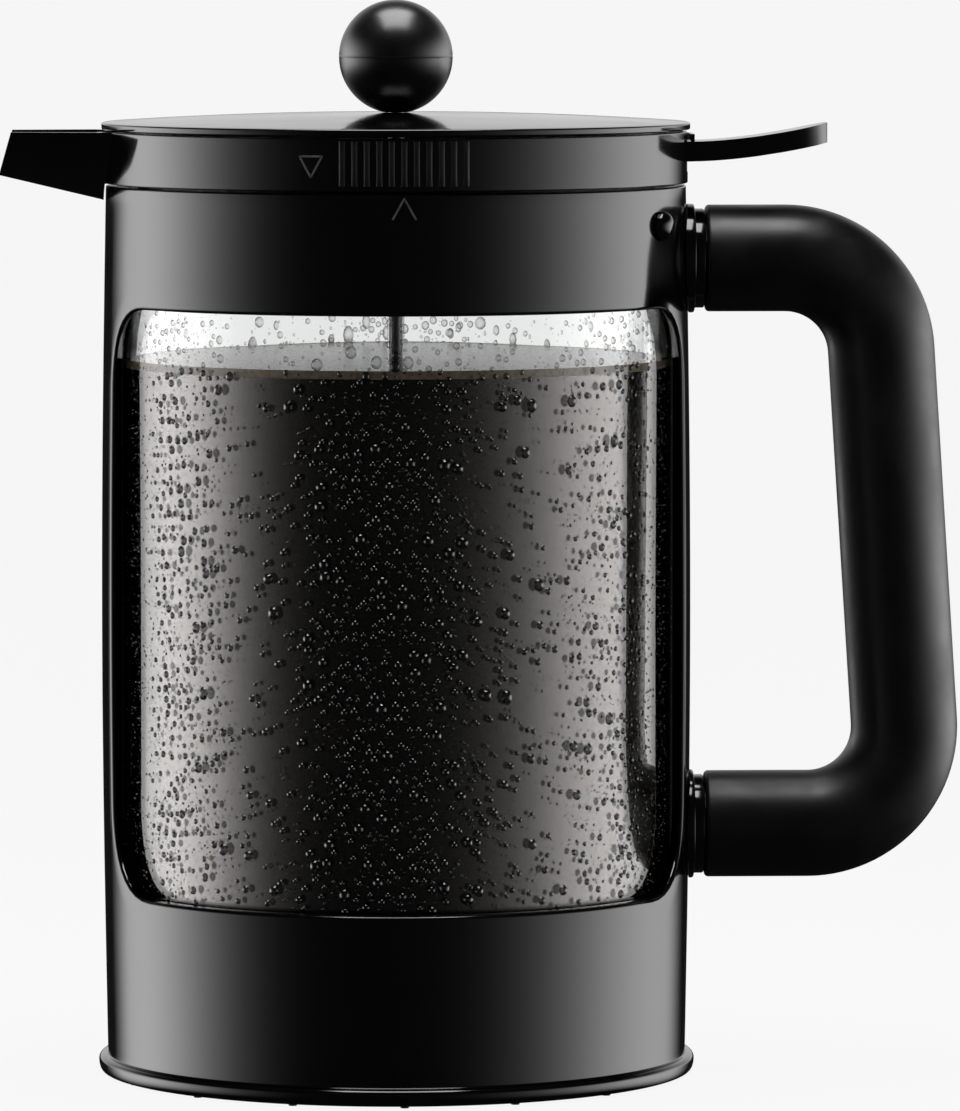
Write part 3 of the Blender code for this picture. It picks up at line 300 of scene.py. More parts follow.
def water():
    """Condensation with painted shade: clear in the middle of a drop and dark at its rim, darker still below
    the coffee's level, in place of the shade the drop's refraction makes.
    """
    made, tree, shader = make_nodes("water")
    shader.inputs["Base Color"].default_value = (0.006, 0.006, 0.006, 1.0)
    shader.inputs["IOR"].default_value = 1.8
    shader.inputs["Specular IOR Level"].default_value = 1.0
    wet = noise_node(tree, 300.0, 1.0)
    vary_roughness(tree, shader, wet.outputs["Fac"], 0.02, 0.08)
    # Painted shade: a near-black cover, thin in each drop's middle and dense at its rim, denser below the
    # coffee's level.
    rim = tree.nodes.new("ShaderNodeLayerWeight")
    painted_shade_over_air = map_range(tree, rim.outputs["Facing"], 0.12, 0.85, 0.08, 0.6)
    painted_shade_over_coffee = map_range(tree, rim.outputs["Facing"], 0.6, 1.0, 0.0, 0.5)
    place = tree.nodes.new("ShaderNodeTexCoord")
    split = tree.nodes.new("ShaderNodeSeparateXYZ")
    tree.links.new(place.outputs["Object"], split.inputs[0])
    above = map_range(tree, split.outputs["Z"], 0.0, 1.0, COFFEE_LEVEL - MM, COFFEE_LEVEL + MM)
    blend = tree.nodes.new("ShaderNodeMix")
    tree.links.new(above, blend.inputs["Factor"])
    tree.links.new(painted_shade_over_coffee, blend.inputs["A"])
    tree.links.new(painted_shade_over_air, blend.inputs["B"])
    tree.links.new(blend.outputs["Result"], shader.inputs["Alpha"])
    return made


def coffee_brown():
    """Strong coffee: nearly black, warm where light reaches it, with a hazy skin against the glass."""
    made, tree, shader = make_nodes("coffee_brown")
    shader.inputs["IOR"].default_value = 1.8
    shader.inputs["Specular IOR Level"].default_value = 1.0
    shader.inputs["Specular Tint"].default_value = (1.0, 0.95, 0.91, 1.0)
    clouds = noise_node(tree, 25.0, 3.0)
    tint(tree, shader, clouds.outputs["Fac"], (0.005, 0.003, 0.002), (0.008, 0.005, 0.004))
    vary_roughness(tree, shader, clouds.outputs["Fac"], 0.09, 0.13)
    return made


def foam_tan():
    made, tree, shader = make_nodes("foam_tan")
    cells = tree.nodes.new("ShaderNodeTexVoronoi")
    cells.inputs["Scale"].default_value = 900.0
    place = tree.nodes.new("ShaderNodeTexCoord")
    tree.links.new(place.outputs["Object"], cells.inputs["Vector"])
    tint(tree, shader, cells.outputs["Distance"], (0.42, 0.31, 0.2), (0.6, 0.47, 0.33), 0.1, 0.7)
    shader.inputs["Roughness"].default_value = 0.18
    shader.inputs["IOR"].default_value = 1.7
    bump(tree, shader, cells.outputs["Distance"], 0.02 * MM, 0.3)
    return made


def steel():
    """Brushed stainless steel."""
    made, tree, shader = make_nodes("steel")
    shader.inputs["Metallic"].default_value = 1.0
    place = tree.nodes.new("ShaderNodeTexCoord")
    stretch = tree.nodes.new("ShaderNodeMapping")
    stretch.inputs["Scale"].default_value = (1.0, 1.0, 0.04)
    lines = tree.nodes.new("ShaderNodeTexNoise")
    lines.inputs["Scale"].default_value = 3000.0
    tree.links.new(place.outputs["Object"], stretch.inputs["Vector"])
    tree.links.new(stretch.outputs["Vector"], lines.inputs["Vector"])
    tint(tree, shader, lines.outputs["Fac"], (0.52, 0.52, 0.53), (0.66, 0.66, 0.67))
    vary_roughness(tree, shader, lines.outputs["Fac"], 0.2, 0.34)
    return made


def woven_steel():
    """Fine woven wire: two crossing waves make the weave, with painted shade darkening its low places
    between the wires.
    """
    made, tree, shader = make_nodes("woven_steel")
    shader.inputs["Metallic"].default_value = 1.0
    shader.inputs["Roughness"].default_value = 0.35
    place = tree.nodes.new("ShaderNodeTexCoord")
    heights = []
    for direction in ("X", "Y"):
        wave = tree.nodes.new("ShaderNodeTexWave")
        wave.bands_direction = direction
        wave.inputs["Scale"].default_value = 700.0
        tree.links.new(place.outputs["Object"], wave.inputs["Vector"])
        heights.append(wave.outputs["Fac"])
    weave = tree.nodes.new("ShaderNodeMath")
    weave.operation = "MULTIPLY"
    tree.links.new(heights[0], weave.inputs[0])
    tree.links.new(heights[1], weave.inputs[1])
    # Painted shade: the steel is coloured darker where the weave's bump sinks.
    tint(tree, shader, weave.outputs["Value"], (0.12, 0.12, 0.12), (0.62, 0.62, 0.63), 0.05, 0.5)
    bump(tree, shader, weave.outputs["Value"], 0.1 * MM, 0.6)
    return made


def silicone():
    made, tree, shader = make_nodes("silicone")
    dust = noise_node(tree, 400.0, 3.0)
    tint(tree, shader, dust.outputs["Fac"], (0.006, 0.006, 0.006), (0.011, 0.011, 0.011))
    vary_roughness(tree, shader, dust.outputs["Fac"], 0.5, 0.62)
    return made


def nylon():
    made, tree, shader = make_nodes("nylon")
    grain = noise_node(tree, 700.0, 3.0)
    tint(tree, shader, grain.outputs["Fac"], (0.008, 0.008, 0.008), (0.014, 0.014, 0.014))
    vary_roughness(tree, shader, grain.outputs["Fac"], 0.32, 0.45)
    bump(tree, shader, grain.outputs["Fac"], 0.02 * MM, 0.3)
    return made


GLOSS = gloss_black()
LINE_HIGHLIGHT = painted_highlight_line()
SATIN = satin_black()
KNOB = knob_black()
SOFT = soft_black()
GLASS = clear_glass()
WATER = water()
COFFEE = coffee_brown()
FOAM = foam_tan()
STEEL = steel()
WEAVE = woven_steel()
SILICONE = silicone()
NYLON = nylon()


def mesh_object(name, shape):
    mesh = bpy.data.meshes.new(name)
    shape.to_mesh(mesh)
    shape.free()
    made = bpy.data.objects.new(name, mesh)
    bpy.context.scene.collection.objects.link(made)
    return made


def finish_mesh(mesh, material, sharp):
    mesh.shade_smooth()
    mesh.set_sharp_from_angle(angle=radians(sharp))
    mesh.materials.append(material)


def round_edges(made, width, segments, angle):
    edge = made.modifiers.new("edges", "BEVEL")
    edge.width = width
    edge.segments = segments
    edge.limit_method = "ANGLE"
    edge.angle_limit = radians(angle)
    edge.harden_normals = True


def add_piece(name, shape, material, body, replaced=(), sharp=35.0):
    """Make an object from a bmesh, smooth but for its sharp edges, and let it ride on a body."""
    bmesh.ops.remove_doubles(shape, verts=shape.verts, dist=MERGE_DISTANCE)
    bmesh.ops.dissolve_degenerate(shape, edges=shape.edges, dist=MERGE_DISTANCE)
    bmesh.ops.recalc_face_normals(shape, faces=shape.faces)
    made = mesh_object(name, shape)
    finish_mesh(made.data, material, sharp)
    if body:
        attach(made, body)
    if replaced:
        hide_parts(*replaced)
    return made


def patch(shape, grid, closed=False):
    """Faces between neighbouring rows of points; closed joins each row's end to its start."""
    rows = [[shape.verts.new(point) for point in row] for row in grid]
    for first, second in zip(rows, rows[1:]):
        count = len(first) if closed else len(first) - 1
        for i in range(count):
            j = (i + 1) % len(first)
            shape.faces.new((first[i], first[j], second[j], second[i]))


def round_point(angle, radius, height):
    return Vector((radius * cos(angle), radius * sin(angle), height))


def arc(centre, radius, start, end, steps=6):
    return [(centre[0] + radius * cos(start + (end - start) * i / steps),
             centre[1] + radius * sin(start + (end - start) * i / steps)) for i in range(steps + 1)]


def rounded(outline, radii, steps=4):
    """Round the corners of a closed (radius, height) outline; radii has one value per corner."""
    points = []
    count = len(outline)
    for i, corner in enumerate(outline):
        size = radii[i] if isinstance(radii, (list, tuple)) else radii
        here = Vector(corner)
        before = Vector(outline[i - 1]) - here
        after = Vector(outline[(i + 1) % count]) - here
        if size <= 0.0 or before.length < 1e-9 or after.length < 1e-9:
            points.append(tuple(here))
            continue
        angle = before.angle(after)
        reach = size / max(1e-6, sin(angle / 2)) * cos(angle / 2)
        reach = min(reach, before.length * 0.49, after.length * 0.49)
        start = here + before.normalized() * reach
        end = here + after.normalized() * reach
        for k in range(steps + 1):
            share = k / steps
            bend = 2 * share * (1 - share) * here
            points.append(tuple((1 - share) ** 2 * start + bend + share ** 2 * end))
    return points


def revolve_shape(outline, steps, closed=True):
    """A bmesh of a (radius, height) outline turned about Z."""
    shape = bmesh.new()
    points = list(outline)
    if closed:
        points.append(points[0])
    angles = [2 * pi * i / steps for i in range(steps)]
    patch(shape, [[round_point(angle, radius, height) for angle in angles] for radius, height in points],
          closed=True)
    return shape


def frame_radius(height):
    share = (height - FLARE_TOP) / (FRAME_TOP - FLARE_TOP)
    return FOOT_RADIUS + (TOP_RADIUS - FOOT_RADIUS) * share + BARREL_SWELL * sin(pi * max(0.0, share))


# Frame

EDGE_COLUMNS = 36
CORNER_COLUMNS = 10
SIDE_ROWS = 14
PILLAR_COLUMNS = 14
LOW_ROWS = 8
HIGH_ROWS = 6
FILLET_STEPS = 4


def window_half(grow, stretch=1.0):
    """Right half of the window's edge as (along, height) points, from bottom middle to top middle."""
    half = WINDOW_HALF_ANGLE * FOOT_RADIUS
    low_x, low_z = half - WINDOW_BOTTOM_CORNER, WINDOW_BOTTOM + WINDOW_BOTTOM_CORNER
    high_x, high_z = half - WINDOW_TOP_CORNER, WINDOW_TOP - WINDOW_TOP_CORNER
    low = [(low_x * i / EDGE_COLUMNS, WINDOW_BOTTOM - grow) for i in range(EDGE_COLUMNS)]
    low += arc((low_x, low_z), WINDOW_BOTTOM_CORNER + grow, -pi / 2, 0.0, CORNER_COLUMNS)
    side = [(half + grow, low_z + (high_z - low_z) * i / SIDE_ROWS) for i in range(1, SIDE_ROWS)]
    high = arc((high_x, high_z), WINDOW_TOP_CORNER + grow, 0.0, pi / 2, CORNER_COLUMNS)
    high += [(high_x * i / EDGE_COLUMNS, WINDOW_TOP + grow) for i in range(EDGE_COLUMNS - 1, -1, -1)]
    return [[(along * stretch, height) for along, height in part] for part in (low, side, high)]


def mirrored(points):
    """The points' mirror image followed by the points, without the shared middle."""
    return [(-along, height) for along, height in reversed(points[1:])] + list(points)


def along_angle(centre, along):
    return centre + along / FOOT_RADIUS


def frame_sheet(shape, radius_at, grow, stretch, bottom, top):
    """One side of the frame's wall, outer or inner, from bottom ring to top ring, round both windows."""
    low, side, high = window_half(grow, stretch)
    rim_low, rim_side, rim_high = window_half(WINDOW_FILLET)
    low, rim_low = mirrored(low), mirrored(rim_low)
    high, rim_high = mirrored(high[::-1]), mirrored(rim_high[::-1])
    half, rim_half = low[-1][0], rim_low[-1][0]
    low_z, high_z = low[-1][1], high[-1][1]
    for centre in (-pi / 2, pi / 2):
        for edge, rim, end, rows in ((low, rim_low, bottom, LOW_ROWS), (high, rim_high, top, HIGH_ROWS)):
            grid = []
            for j in range(rows + 1):
                share = j / rows
                row = []
                for (along, height), (rim_along, _) in zip(edge, rim):
                    z = end + (height - end) * share
                    row.append(round_point(along_angle(centre, rim_along + (along - rim_along) * share),
                                           radius_at(z), z))
                grid.append(row)
            patch(shape, grid)
    for centre, following in ((-pi / 2, pi / 2), (pi / 2, 3 * pi / 2)):
        rows = [(bottom + (low_z - bottom) * j / LOW_ROWS, j / LOW_ROWS) for j in range(LOW_ROWS + 1)]
        rows += [(low_z + (high_z - low_z) * j / SIDE_ROWS, 1.0) for j in range(1, SIDE_ROWS + 1)]
        rows += [(high_z + (top - high_z) * j / HIGH_ROWS, 1 - j / HIGH_ROWS)
                 for j in range(1, HIGH_ROWS + 1)]
        grid = []
        for z, share in rows:
            edge = rim_half + (half - rim_half) * share
            start, end = along_angle(centre, edge), along_angle(following, -edge)
            grid.append([round_point(start + (end - start) * i / PILLAR_COLUMNS, radius_at(z), z)
                         for i in range(PILLAR_COLUMNS + 1)])
        patch(shape, grid)


def rim_angles(part):
    """Angles of the wall's columns on its bottom ring (part 0) or top ring (part 2), all the way round."""
    rim = window_half(WINDOW_FILLET)[part]
    rim = mirrored(rim if part == 0 else rim[::-1])
    angles = []
    for centre, following in ((-pi / 2, pi / 2), (pi / 2, 3 * pi / 2)):
        angles += [along_angle(centre, along) for along, _ in rim]
        start, end = angles[-1], along_angle(following, rim[0][0])
        angles += [start + (end - start) * i / PILLAR_COLUMNS for i in range(1, PILLAR_COLUMNS)]
    return angles


def ring_patch(shape, angles, profile):
    patch(shape, [[round_point(angle, radius, height) for angle in angles] for radius, height in profile],
          closed=True)


def window_edge(shape, centre):
    """The window's rounded edge and the face through the wall's thickness."""
    loops = []
    for k in range(FILLET_STEPS + 3):
        turn = pi / 2 * min(1.0, k / FILLET_STEPS)
        grow = WINDOW_FILLET * (1 - sin(turn))
        depth = WINDOW_FILLET * (1 - cos(turn))
        through = max(0.0, (k - FILLET_STEPS) / 2)
        low, side, high = window_half(grow, 1.0 + (REVEAL_STRETCH - 1.0) * through)
        right = low + side + high
        loop = right + [(-along, height) for along, height in reversed(right[1:-1])]
        row = []
        for along, height in loop:
            radius = frame_radius(height) - depth
            radius += (FRAME_BORE - radius) * through
            row.append(round_point(along_angle(centre, along), radius, height))
        loops.append(row)
    patch(shape, loops, closed=True)


def make_frame():
    shape = bmesh.new()
    frame_sheet(shape, frame_radius, WINDOW_FILLET, 1.0, FLARE_TOP, FRAME_TOP - EDGE_FILLET)
    frame_sheet(shape, lambda height: FRAME_BORE, 0.0, REVEAL_STRETCH, FLOOR_TOP, FRAME_TOP - EDGE_FILLET)
    for centre in (-pi / 2, pi / 2):
        window_edge(shape, centre)
    rim_radius = frame_radius(FRAME_TOP - EDGE_FILLET)
    top = arc((rim_radius - EDGE_FILLET, FRAME_TOP - EDGE_FILLET), EDGE_FILLET, 0.0, pi / 2, 4)
    top += arc((FRAME_BORE + EDGE_FILLET, FRAME_TOP - EDGE_FILLET), EDGE_FILLET, pi / 2, pi, 4)
    ring_patch(shape, rim_angles(2), top)
    crease_z = LIP_SHOULDER + CREASE_ROUND
    bottom = [(FOOT_RADIUS, FLARE_TOP), (FOOT_RADIUS, crease_z)]
    bottom += arc((FOOT_RADIUS + CREASE_ROUND, crease_z), CREASE_ROUND, pi, 3 * pi / 2, 3)[1:]
    lip_inner = FOOT_RADIUS + CREASE_ROUND
    for i in range(1, LIP_UPPER_STEPS + 1):
        turn = pi / 2 * i / LIP_UPPER_STEPS
        bottom.append((lip_inner + (LIP_RADIUS - lip_inner) * sin(turn) ** LIP_UPPER_POWER,
                       LIP_WAIST + (LIP_SHOULDER - LIP_WAIST) * cos(turn)))
    for i in range(1, LIP_LOWER_STEPS + 1):
        turn = pi / 2 * i / LIP_LOWER_STEPS
        bottom.append((GROOVE_OUTER + (LIP_RADIUS - GROOVE_OUTER) * cos(turn) ** LIP_LOWER_POWER,
                       LIP_WAIST - (LIP_WAIST - FRAME_BOTTOM) * sin(turn)))
    bottom += [(GROOVE_OUTER, GROOVE_TOP),
               (GROOVE_INNER, GROOVE_TOP), (GROOVE_INNER, FRAME_BOTTOM), (0.0, FRAME_BOTTOM)]
    ring_patch(shape, rim_angles(0), bottom)
    floor = [(FRAME_BORE, FLOOR_TOP), (FRAME_BORE / 2, FLOOR_TOP), (0.0, FLOOR_TOP)]
    ring_patch(shape, rim_angles(0), floor)
    return add_piece("frame_wall", shape, GLOSS, "frame_body", ("frame_shell",))


def bead_line(name, azimuth, radius_at, corners, closed, body):
    """A fine raised line through (across, height) corners, half sunk in a round wall."""
    shape = bmesh.new()
    turn = Matrix.Rotation(azimuth, 4, "Z")
    places = []
    ends = corners + corners[:1] if closed else corners
    for first, second in zip(ends, ends[1:]):
        for i in range(8):
            share = i / 8
            places.append([first[k] + (second[k] - first[k]) * share for k in (0, 1)])
    if not closed:
        places.append(list(corners[-1]))
    count = len(places)
    rows = []
    for i, (across, height) in enumerate(places):
        before = places[i - 1] if closed or i else places[i]
        after = places[(i + 1) % count] if closed or i < count - 1 else places[i]
        run = Vector((after[0] - before[0], after[1] - before[1])).normalized()
        side = Vector((-run.y, run.x))
        radius = radius_at(height)
        row = []
        for k in range(6):
            angle = 2 * pi * k / 6
            out, over = MARK_BEAD * cos(angle), MARK_BEAD * sin(angle)
            angle_here = (across + side.x * over) / radius
            row.append(turn @ round_point(angle_here, radius + out, height + side.y * over))
        rows.append(row)
    if closed:
        rows.append(rows[0])
    patch(shape, rows, closed=True)
    if not closed:
        for row in (rows[0], rows[-1]):
            shape.faces.new([shape.verts.new(point) for point in row])
    return add_piece(name, shape, LINE_HIGHLIGHT, body, sharp=80.0)


def make_marks():
    apex = FRAME_TOP - MARK_DROP
    corners = [(-MARK_HALF_WIDTH, apex - MARK_HEIGHT), (0.0, apex), (MARK_HALF_WIDTH, apex - MARK_HEIGHT)]
    bead_line("frame_mark", -pi / 2, frame_radius, corners, False, "frame_body")
    top = RING_TOP - LID_MARK_DROP
    corners = [(-MARK_HALF_WIDTH, top), (MARK_HALF_WIDTH, top), (0.0, top - MARK_HEIGHT)]
    bead_line("lid_mark", -pi / 2 - LID_MARK_ANGLE, lambda height: RING_RADIUS, corners, True, "lid_body")


# Handle

def handle_path(start_x, bend_steps):
    upper = (UPPER_BEND_X, UPPER_ARM_Z - BEND_RADIUS)
    lower = (LOWER_BEND_X, LOWER_ARM_Z + BEND_RADIUS)
    lean = atan2(lower[0] - upper[0], upper[1] - lower[1])
    points = [(start_x + (UPPER_BEND_X - start_x) * i / 4, UPPER_ARM_Z) for i in range(4)]
    points += arc(upper, BEND_RADIUS, pi / 2, lean, bend_steps)
    points += arc(lower, BEND_RADIUS, lean, -pi / 2, bend_steps)
    points += [(LOWER_BEND_X + (start_x - LOWER_BEND_X) * i / 4, LOWER_ARM_Z) for i in range(1, 5)]
    return points


def sweep_rows(path, radii, around):
    """Rings of points round a path in the XZ plane; radii has one value per path point."""
    rows = []
    for i, (x, z) in enumerate(path):
        before, after = path[max(0, i - 1)], path[min(len(path) - 1, i + 1)]
        run = Vector((after[0] - before[0], after[1] - before[1])).normalized()
        side = Vector((-run.y, 0.0, run.x))
        row = []
        for k in range(around):
            angle = 2 * pi * k / around
            out = side * cos(angle) + Vector((0.0, 1.0, 0.0)) * sin(angle)
            row.append(Vector((x, 0.0, z)) + out * radii[i])
        rows.append(row)
    return rows


def make_grip():
    around = 64
    path = handle_path(GRIP_START_X + GRIP_EDGE, 28)
    ends = []
    for i in range(6):
        turn = pi / 2 * i / 6
        ends.append((GRIP_START_X + GRIP_EDGE * (1 - sin(turn)), GRIP_RADIUS - GRIP_EDGE * (1 - cos(turn))))
    start = [(x, UPPER_ARM_Z) for x, _ in reversed(ends)]
    start_radii = [radius for _, radius in reversed(ends)]
    finish = [(x, LOWER_ARM_Z) for x, _ in ends]
    finish_radii = [radius for _, radius in ends]
    full = start[:-1] + path + finish[1:]
    radii = start_radii[:-1] + [GRIP_RADIUS] * len(path) + finish_radii[1:]
    shape = bmesh.new()
    outer = sweep_rows(full, radii, around)
    inner_path = handle_path(GRIP_START_X, 28)
    inner = sweep_rows(inner_path, [CORE_RADIUS] * len(inner_path), around)
    patch(shape, outer, closed=True)
    patch(shape, inner, closed=True)
    patch(shape, [outer[0], inner[0]], closed=True)
    patch(shape, [outer[-1], inner[-1]], closed=True)
    return add_piece("soft_grip", shape, SOFT, "frame_body", ("handle_grip",))


def collar_corner(radius, x):
    return arc((radius - EDGE_FILLET, x - EDGE_FILLET), EDGE_FILLET, pi / 2, 0.0, 3)


def make_collars():
    """Collars whose flanges follow the frame's round wall."""
    around = 96
    for name, height in (("upper", UPPER_ARM_Z), ("lower", LOWER_ARM_Z)):
        outline = [(CORE_RADIUS, COLLAR_END_X)]
        outline += collar_corner(COLLAR_NECK_RADIUS, COLLAR_END_X)
        outline += [(COLLAR_NECK_RADIUS, COLLAR_NECK_X)]
        outline += collar_corner(COLLAR_FLANGE_RADIUS, COLLAR_NECK_X)
        seat = (COLLAR_FLANGE_RADIUS, None), (CORE_RADIUS, None)
        rows = []
        for radius, x in outline + list(seat):
            row = []
            for k in range(around):
                angle = 2 * pi * k / around
                y, z = radius * sin(angle), height + radius * cos(angle)
                wall = frame_radius(z) + SEAT_GAP
                seat_x = sqrt(max(0.0, wall ** 2 - y ** 2))
                row.append(Vector((seat_x if x is None else max(x, seat_x + COLLAR_SEAT_STEP), y, z)))
            rows.append(row)
        rows.append(rows[0])
        shape = bmesh.new()
        patch(shape, rows, closed=True)
        add_piece("glossy_collar_" + name, shape, GLOSS, "frame_body", ("handle_collar_" + name,))


def make_pegs():
    seat = frame_radius(PEG_Z) + SEAT_GAP
    for name, side in (("front", -1), ("rear", 1)):
        outline = [(PEG_RADIUS * sin(angle), seat + PEG_HEIGHT * cos(angle))
                   for angle in (pi / 2 * i / 10 for i in range(11))]
        outline += [(PEG_RADIUS * PEG_FOOT_SHARE, seat - PEG_SINK), (PEG_SHANK_RADIUS, seat - PEG_SINK),
                    (PEG_SHANK_RADIUS, FRAME_BORE + SEAT_GAP), (0.0, FRAME_BORE + SEAT_GAP)]
        shape = revolve_shape(outline, 48, closed=False)
        turn = Matrix.Rotation(side * PEG_ANGLE, 4, "Z") @ Matrix.Rotation(pi / 2, 4, "Y")
        bmesh.ops.transform(shape, matrix=Matrix.Translation((0.0, 0.0, PEG_Z)) @ turn, verts=shape.verts)
        add_piece("domed_peg_" + name, shape, GLOSS, "frame_body", ("frame_peg_" + name,))


# Lid

def cut_with(target, tool, operation):
    change = target.modifiers.new(tool.name, "BOOLEAN")
    change.operation = operation
    change.solver = "EXACT"
    change.object = tool


def tool_object(name, shape):
    bmesh.ops.remove_doubles(shape, verts=shape.verts, dist=MERGE_DISTANCE)
    bmesh.ops.recalc_face_normals(shape, faces=shape.faces)
    return mesh_object(name, shape)


def v_section(x_top, x_bottom, half_width, top, bottom, lift, steps=40):
    """A V-shaped section with a rounded bottom, as in the solids."""
    power = 1 / SPOUT_CORNER_POWER
    points = [(x_top, half_width, top + lift), (x_top, -half_width, top + lift)] if lift else []
    for i in range(steps + 1):
        angle = pi * i / steps
        side = -1 if angle < pi / 2 else 1
        across = side * half_width * abs(cos(angle)) ** (2 * power)
        depth = sin(angle) ** (2 * power)
        points.append(Vector((x_top + (x_bottom - x_top) * depth, across, top + (bottom - top) * depth)))
    return points


def loft_shape(sections):
    shape = bmesh.new()
    rings = [[shape.verts.new(point) for point in section] for section in sections]
    count = len(rings[0])
    for first, second in zip(rings, rings[1:]):
        for i in range(count):
            j = (i + 1) % count
            shape.faces.new((first[i], first[j], second[j], second[i]))
    shape.faces.new(rings[0])
    shape.faces.new(rings[-1])
    return shape


def box_shape(low, high):
    shape = bmesh.new()
    size = Vector(high) - Vector(low)
    middle = (Vector(high) + Vector(low)) / 2
    bmesh.ops.create_cube(shape, size=1.0, matrix=Matrix.Translation(middle) @ Matrix.Diagonal((*size, 1.0)))
    return shape


def frozen(made):
    """The object's mesh with its modifiers applied, as a bmesh."""
    bpy.context.view_layer.update()
    evaluated = made.evaluated_get(bpy.context.evaluated_depsgraph_get())
    shape = bmesh.new()
    mesh = bpy.data.meshes.new_from_object(evaluated)
    shape.from_mesh(mesh)
    bpy.data.meshes.remove(mesh)
    return shape


def make_lid_ring():
    outline = rounded([(RING_RADIUS, RING_TOP), (RING_RADIUS, RING_BOTTOM), (LEDGE_INNER, RING_BOTTOM),
                       (LEDGE_INNER, LEDGE_TOP), (RING_INNER, LEDGE_TOP), (RING_INNER, RING_TOP)],
                      [RING_EDGE, RING_EDGE, 0.0, 0.0, 0.0, RING_INNER_EDGE])
    ring = tool_object("ring_blank", revolve_shape(outline, 240))
    trough = tool_object("spout_blank", loft_shape([
        v_section(-SPOUT_ROOT_X, -SPOUT_ROOT_X, SPOUT_ROOT_HALF_WIDTH, RING_TOP, SPOUT_ROOT_BOTTOM, 0.0),
        v_section(-SPOUT_TIP_TOP_X, -SPOUT_TIP_BOTTOM_X, SPOUT_TIP_HALF_WIDTH, RING_TOP,
                  SPOUT_TIP_BOTTOM, 0.0)]))
    wall = [(0.0, FRAME_TOP + SPOUT_FRAME_GAP)]
    wall += [(frame_radius(height) + SPOUT_FRAME_GAP, height + (SPOUT_FRAME_GAP if i == 0 else 0.0))
             for i, height in enumerate(FRAME_TOP - 2.0 * MM * k for k in range(12))]
    wall += [(0.0, wall[-1][1])]
    envelope = tool_object("frame_outside", revolve_shape(wall, 200, closed=False))
    cut_with(trough, envelope, "DIFFERENCE")
    cut_with(ring, trough, "UNION")
    start = RING_RADIUS + SPOUT_ROOT_WALL
    slope = (SPOUT_TIP_BOTTOM - SPOUT_ROOT_BOTTOM) / (SPOUT_TIP_TOP_X - SPOUT_ROOT_X)
    floor = SPOUT_ROOT_BOTTOM + SPOUT_WALL + slope * (start - SPOUT_ROOT_X)
    end_x = SPOUT_TIP_BOTTOM_X + OVERRUN
    channel = tool_object("spout_channel", loft_shape([
        v_section(-start, -start, SPOUT_ROOT_HALF_WIDTH - SPOUT_WALL, RING_TOP, floor, OVERRUN),
        v_section(-end_x, -end_x, SPOUT_TIP_HALF_WIDTH - SPOUT_WALL, RING_TOP,
                  floor + slope * (end_x - start), OVERRUN)]))
    inlet = tool_object("spout_inlet", loft_shape([
        v_section(-x, -x, INLET_HALF_WIDTH, RING_TOP, INLET_FLOOR, OVERRUN)
        for x in (RING_INNER - OVERRUN, start + OVERRUN)]))
    slot = tool_object("lever_slot", box_shape((RING_INNER - OVERRUN, -SLOT_HALF_WIDTH, SLOT_BOTTOM),
                                               (RING_RADIUS + OVERRUN, SLOT_HALF_WIDTH, RING_TOP + OVERRUN)))
    for tool in (channel, inlet, slot):
        cut_with(ring, tool, "DIFFERENCE")
    shape = frozen(ring)
    for tool in (ring, trough, envelope, channel, inlet, slot):
        bpy.data.objects.remove(tool, do_unlink=True)
    made = add_piece("lid_collar", shape, GLOSS, "lid_body", ("lid_ring",), sharp=28.0)
    round_edges(made, RING_BEVEL, 2, 50.0)
    return made


def make_ribs():
    shape = bmesh.new()
    around = 8
    rise = 8
    for i in range(RIB_COUNT):
        turn = Matrix.Rotation(-pi / 2 + (i - (RIB_COUNT - 1) / 2) * RIB_PITCH, 4, "Z")
        rows = []
        for j in range(rise + 1):
            share = j / rise
            z = RIB_BOTTOM + (RIB_TOP - RIB_BOTTOM) * share
            end = min(1.0, min(share, 1 - share) * rise)
            scale = RIB_END_SHARE + (1 - RIB_END_SHARE) * end
            row = []
            for k in range(around + 1):
                angle = pi * k / around
                bulge = (RIB_PROUD + RIB_SINK) * sin(angle) ** RIB_CURVE_POWER * scale
                row.append(turn @ Vector((RING_RADIUS - RIB_SINK + bulge, RIB_HALF_WIDTH * cos(angle), z)))
            for across in (-RIB_HALF_WIDTH, RIB_HALF_WIDTH):
                row.append(turn @ Vector((RING_RADIUS - RIB_ROOT_DEPTH, across, z)))
            rows.append(row)
        patch(shape, rows, closed=True)
        for row in (rows[0], rows[-1]):
            shape.faces.new([shape.verts.new(point) for point in row])
    return add_piece("grip_ribs", shape, SATIN, "lid_body", sharp=50.0)


def disc_top(radius):
    return DISC_APEX - (DISC_APEX - DISC_EDGE_TOP) * (radius / DISC_RADIUS) ** 2


def make_disc():
    edge = DISC_EDGE
    radii = [ROD_BORE + (DISC_RADIUS - edge - ROD_BORE) * i / 24 for i in range(25)]
    outline = [(radius, disc_top(radius)) for radius in radii]
    outline += arc((DISC_RADIUS - edge, disc_top(DISC_RADIUS - edge) - edge), edge, pi / 2, 0.0, 5)
    outline += arc((DISC_RADIUS - edge, DISC_BOTTOM + edge), edge, 0.0, -pi / 2, 5)
    outline += [(DISC_SEAT, DISC_BOTTOM)]
    under = [ROD_BORE + (DISC_SEAT - ROD_BORE) * i / 8 for i in range(8)]
    outline += [(radius, max(DISC_BOTTOM, disc_top(radius) - DISC_THICKNESS)) for radius in reversed(under)]
    shape = revolve_shape(outline, 256)
    return add_piece("lid_cover", shape, GLOSS, "lid_body", ("lid_disc",))


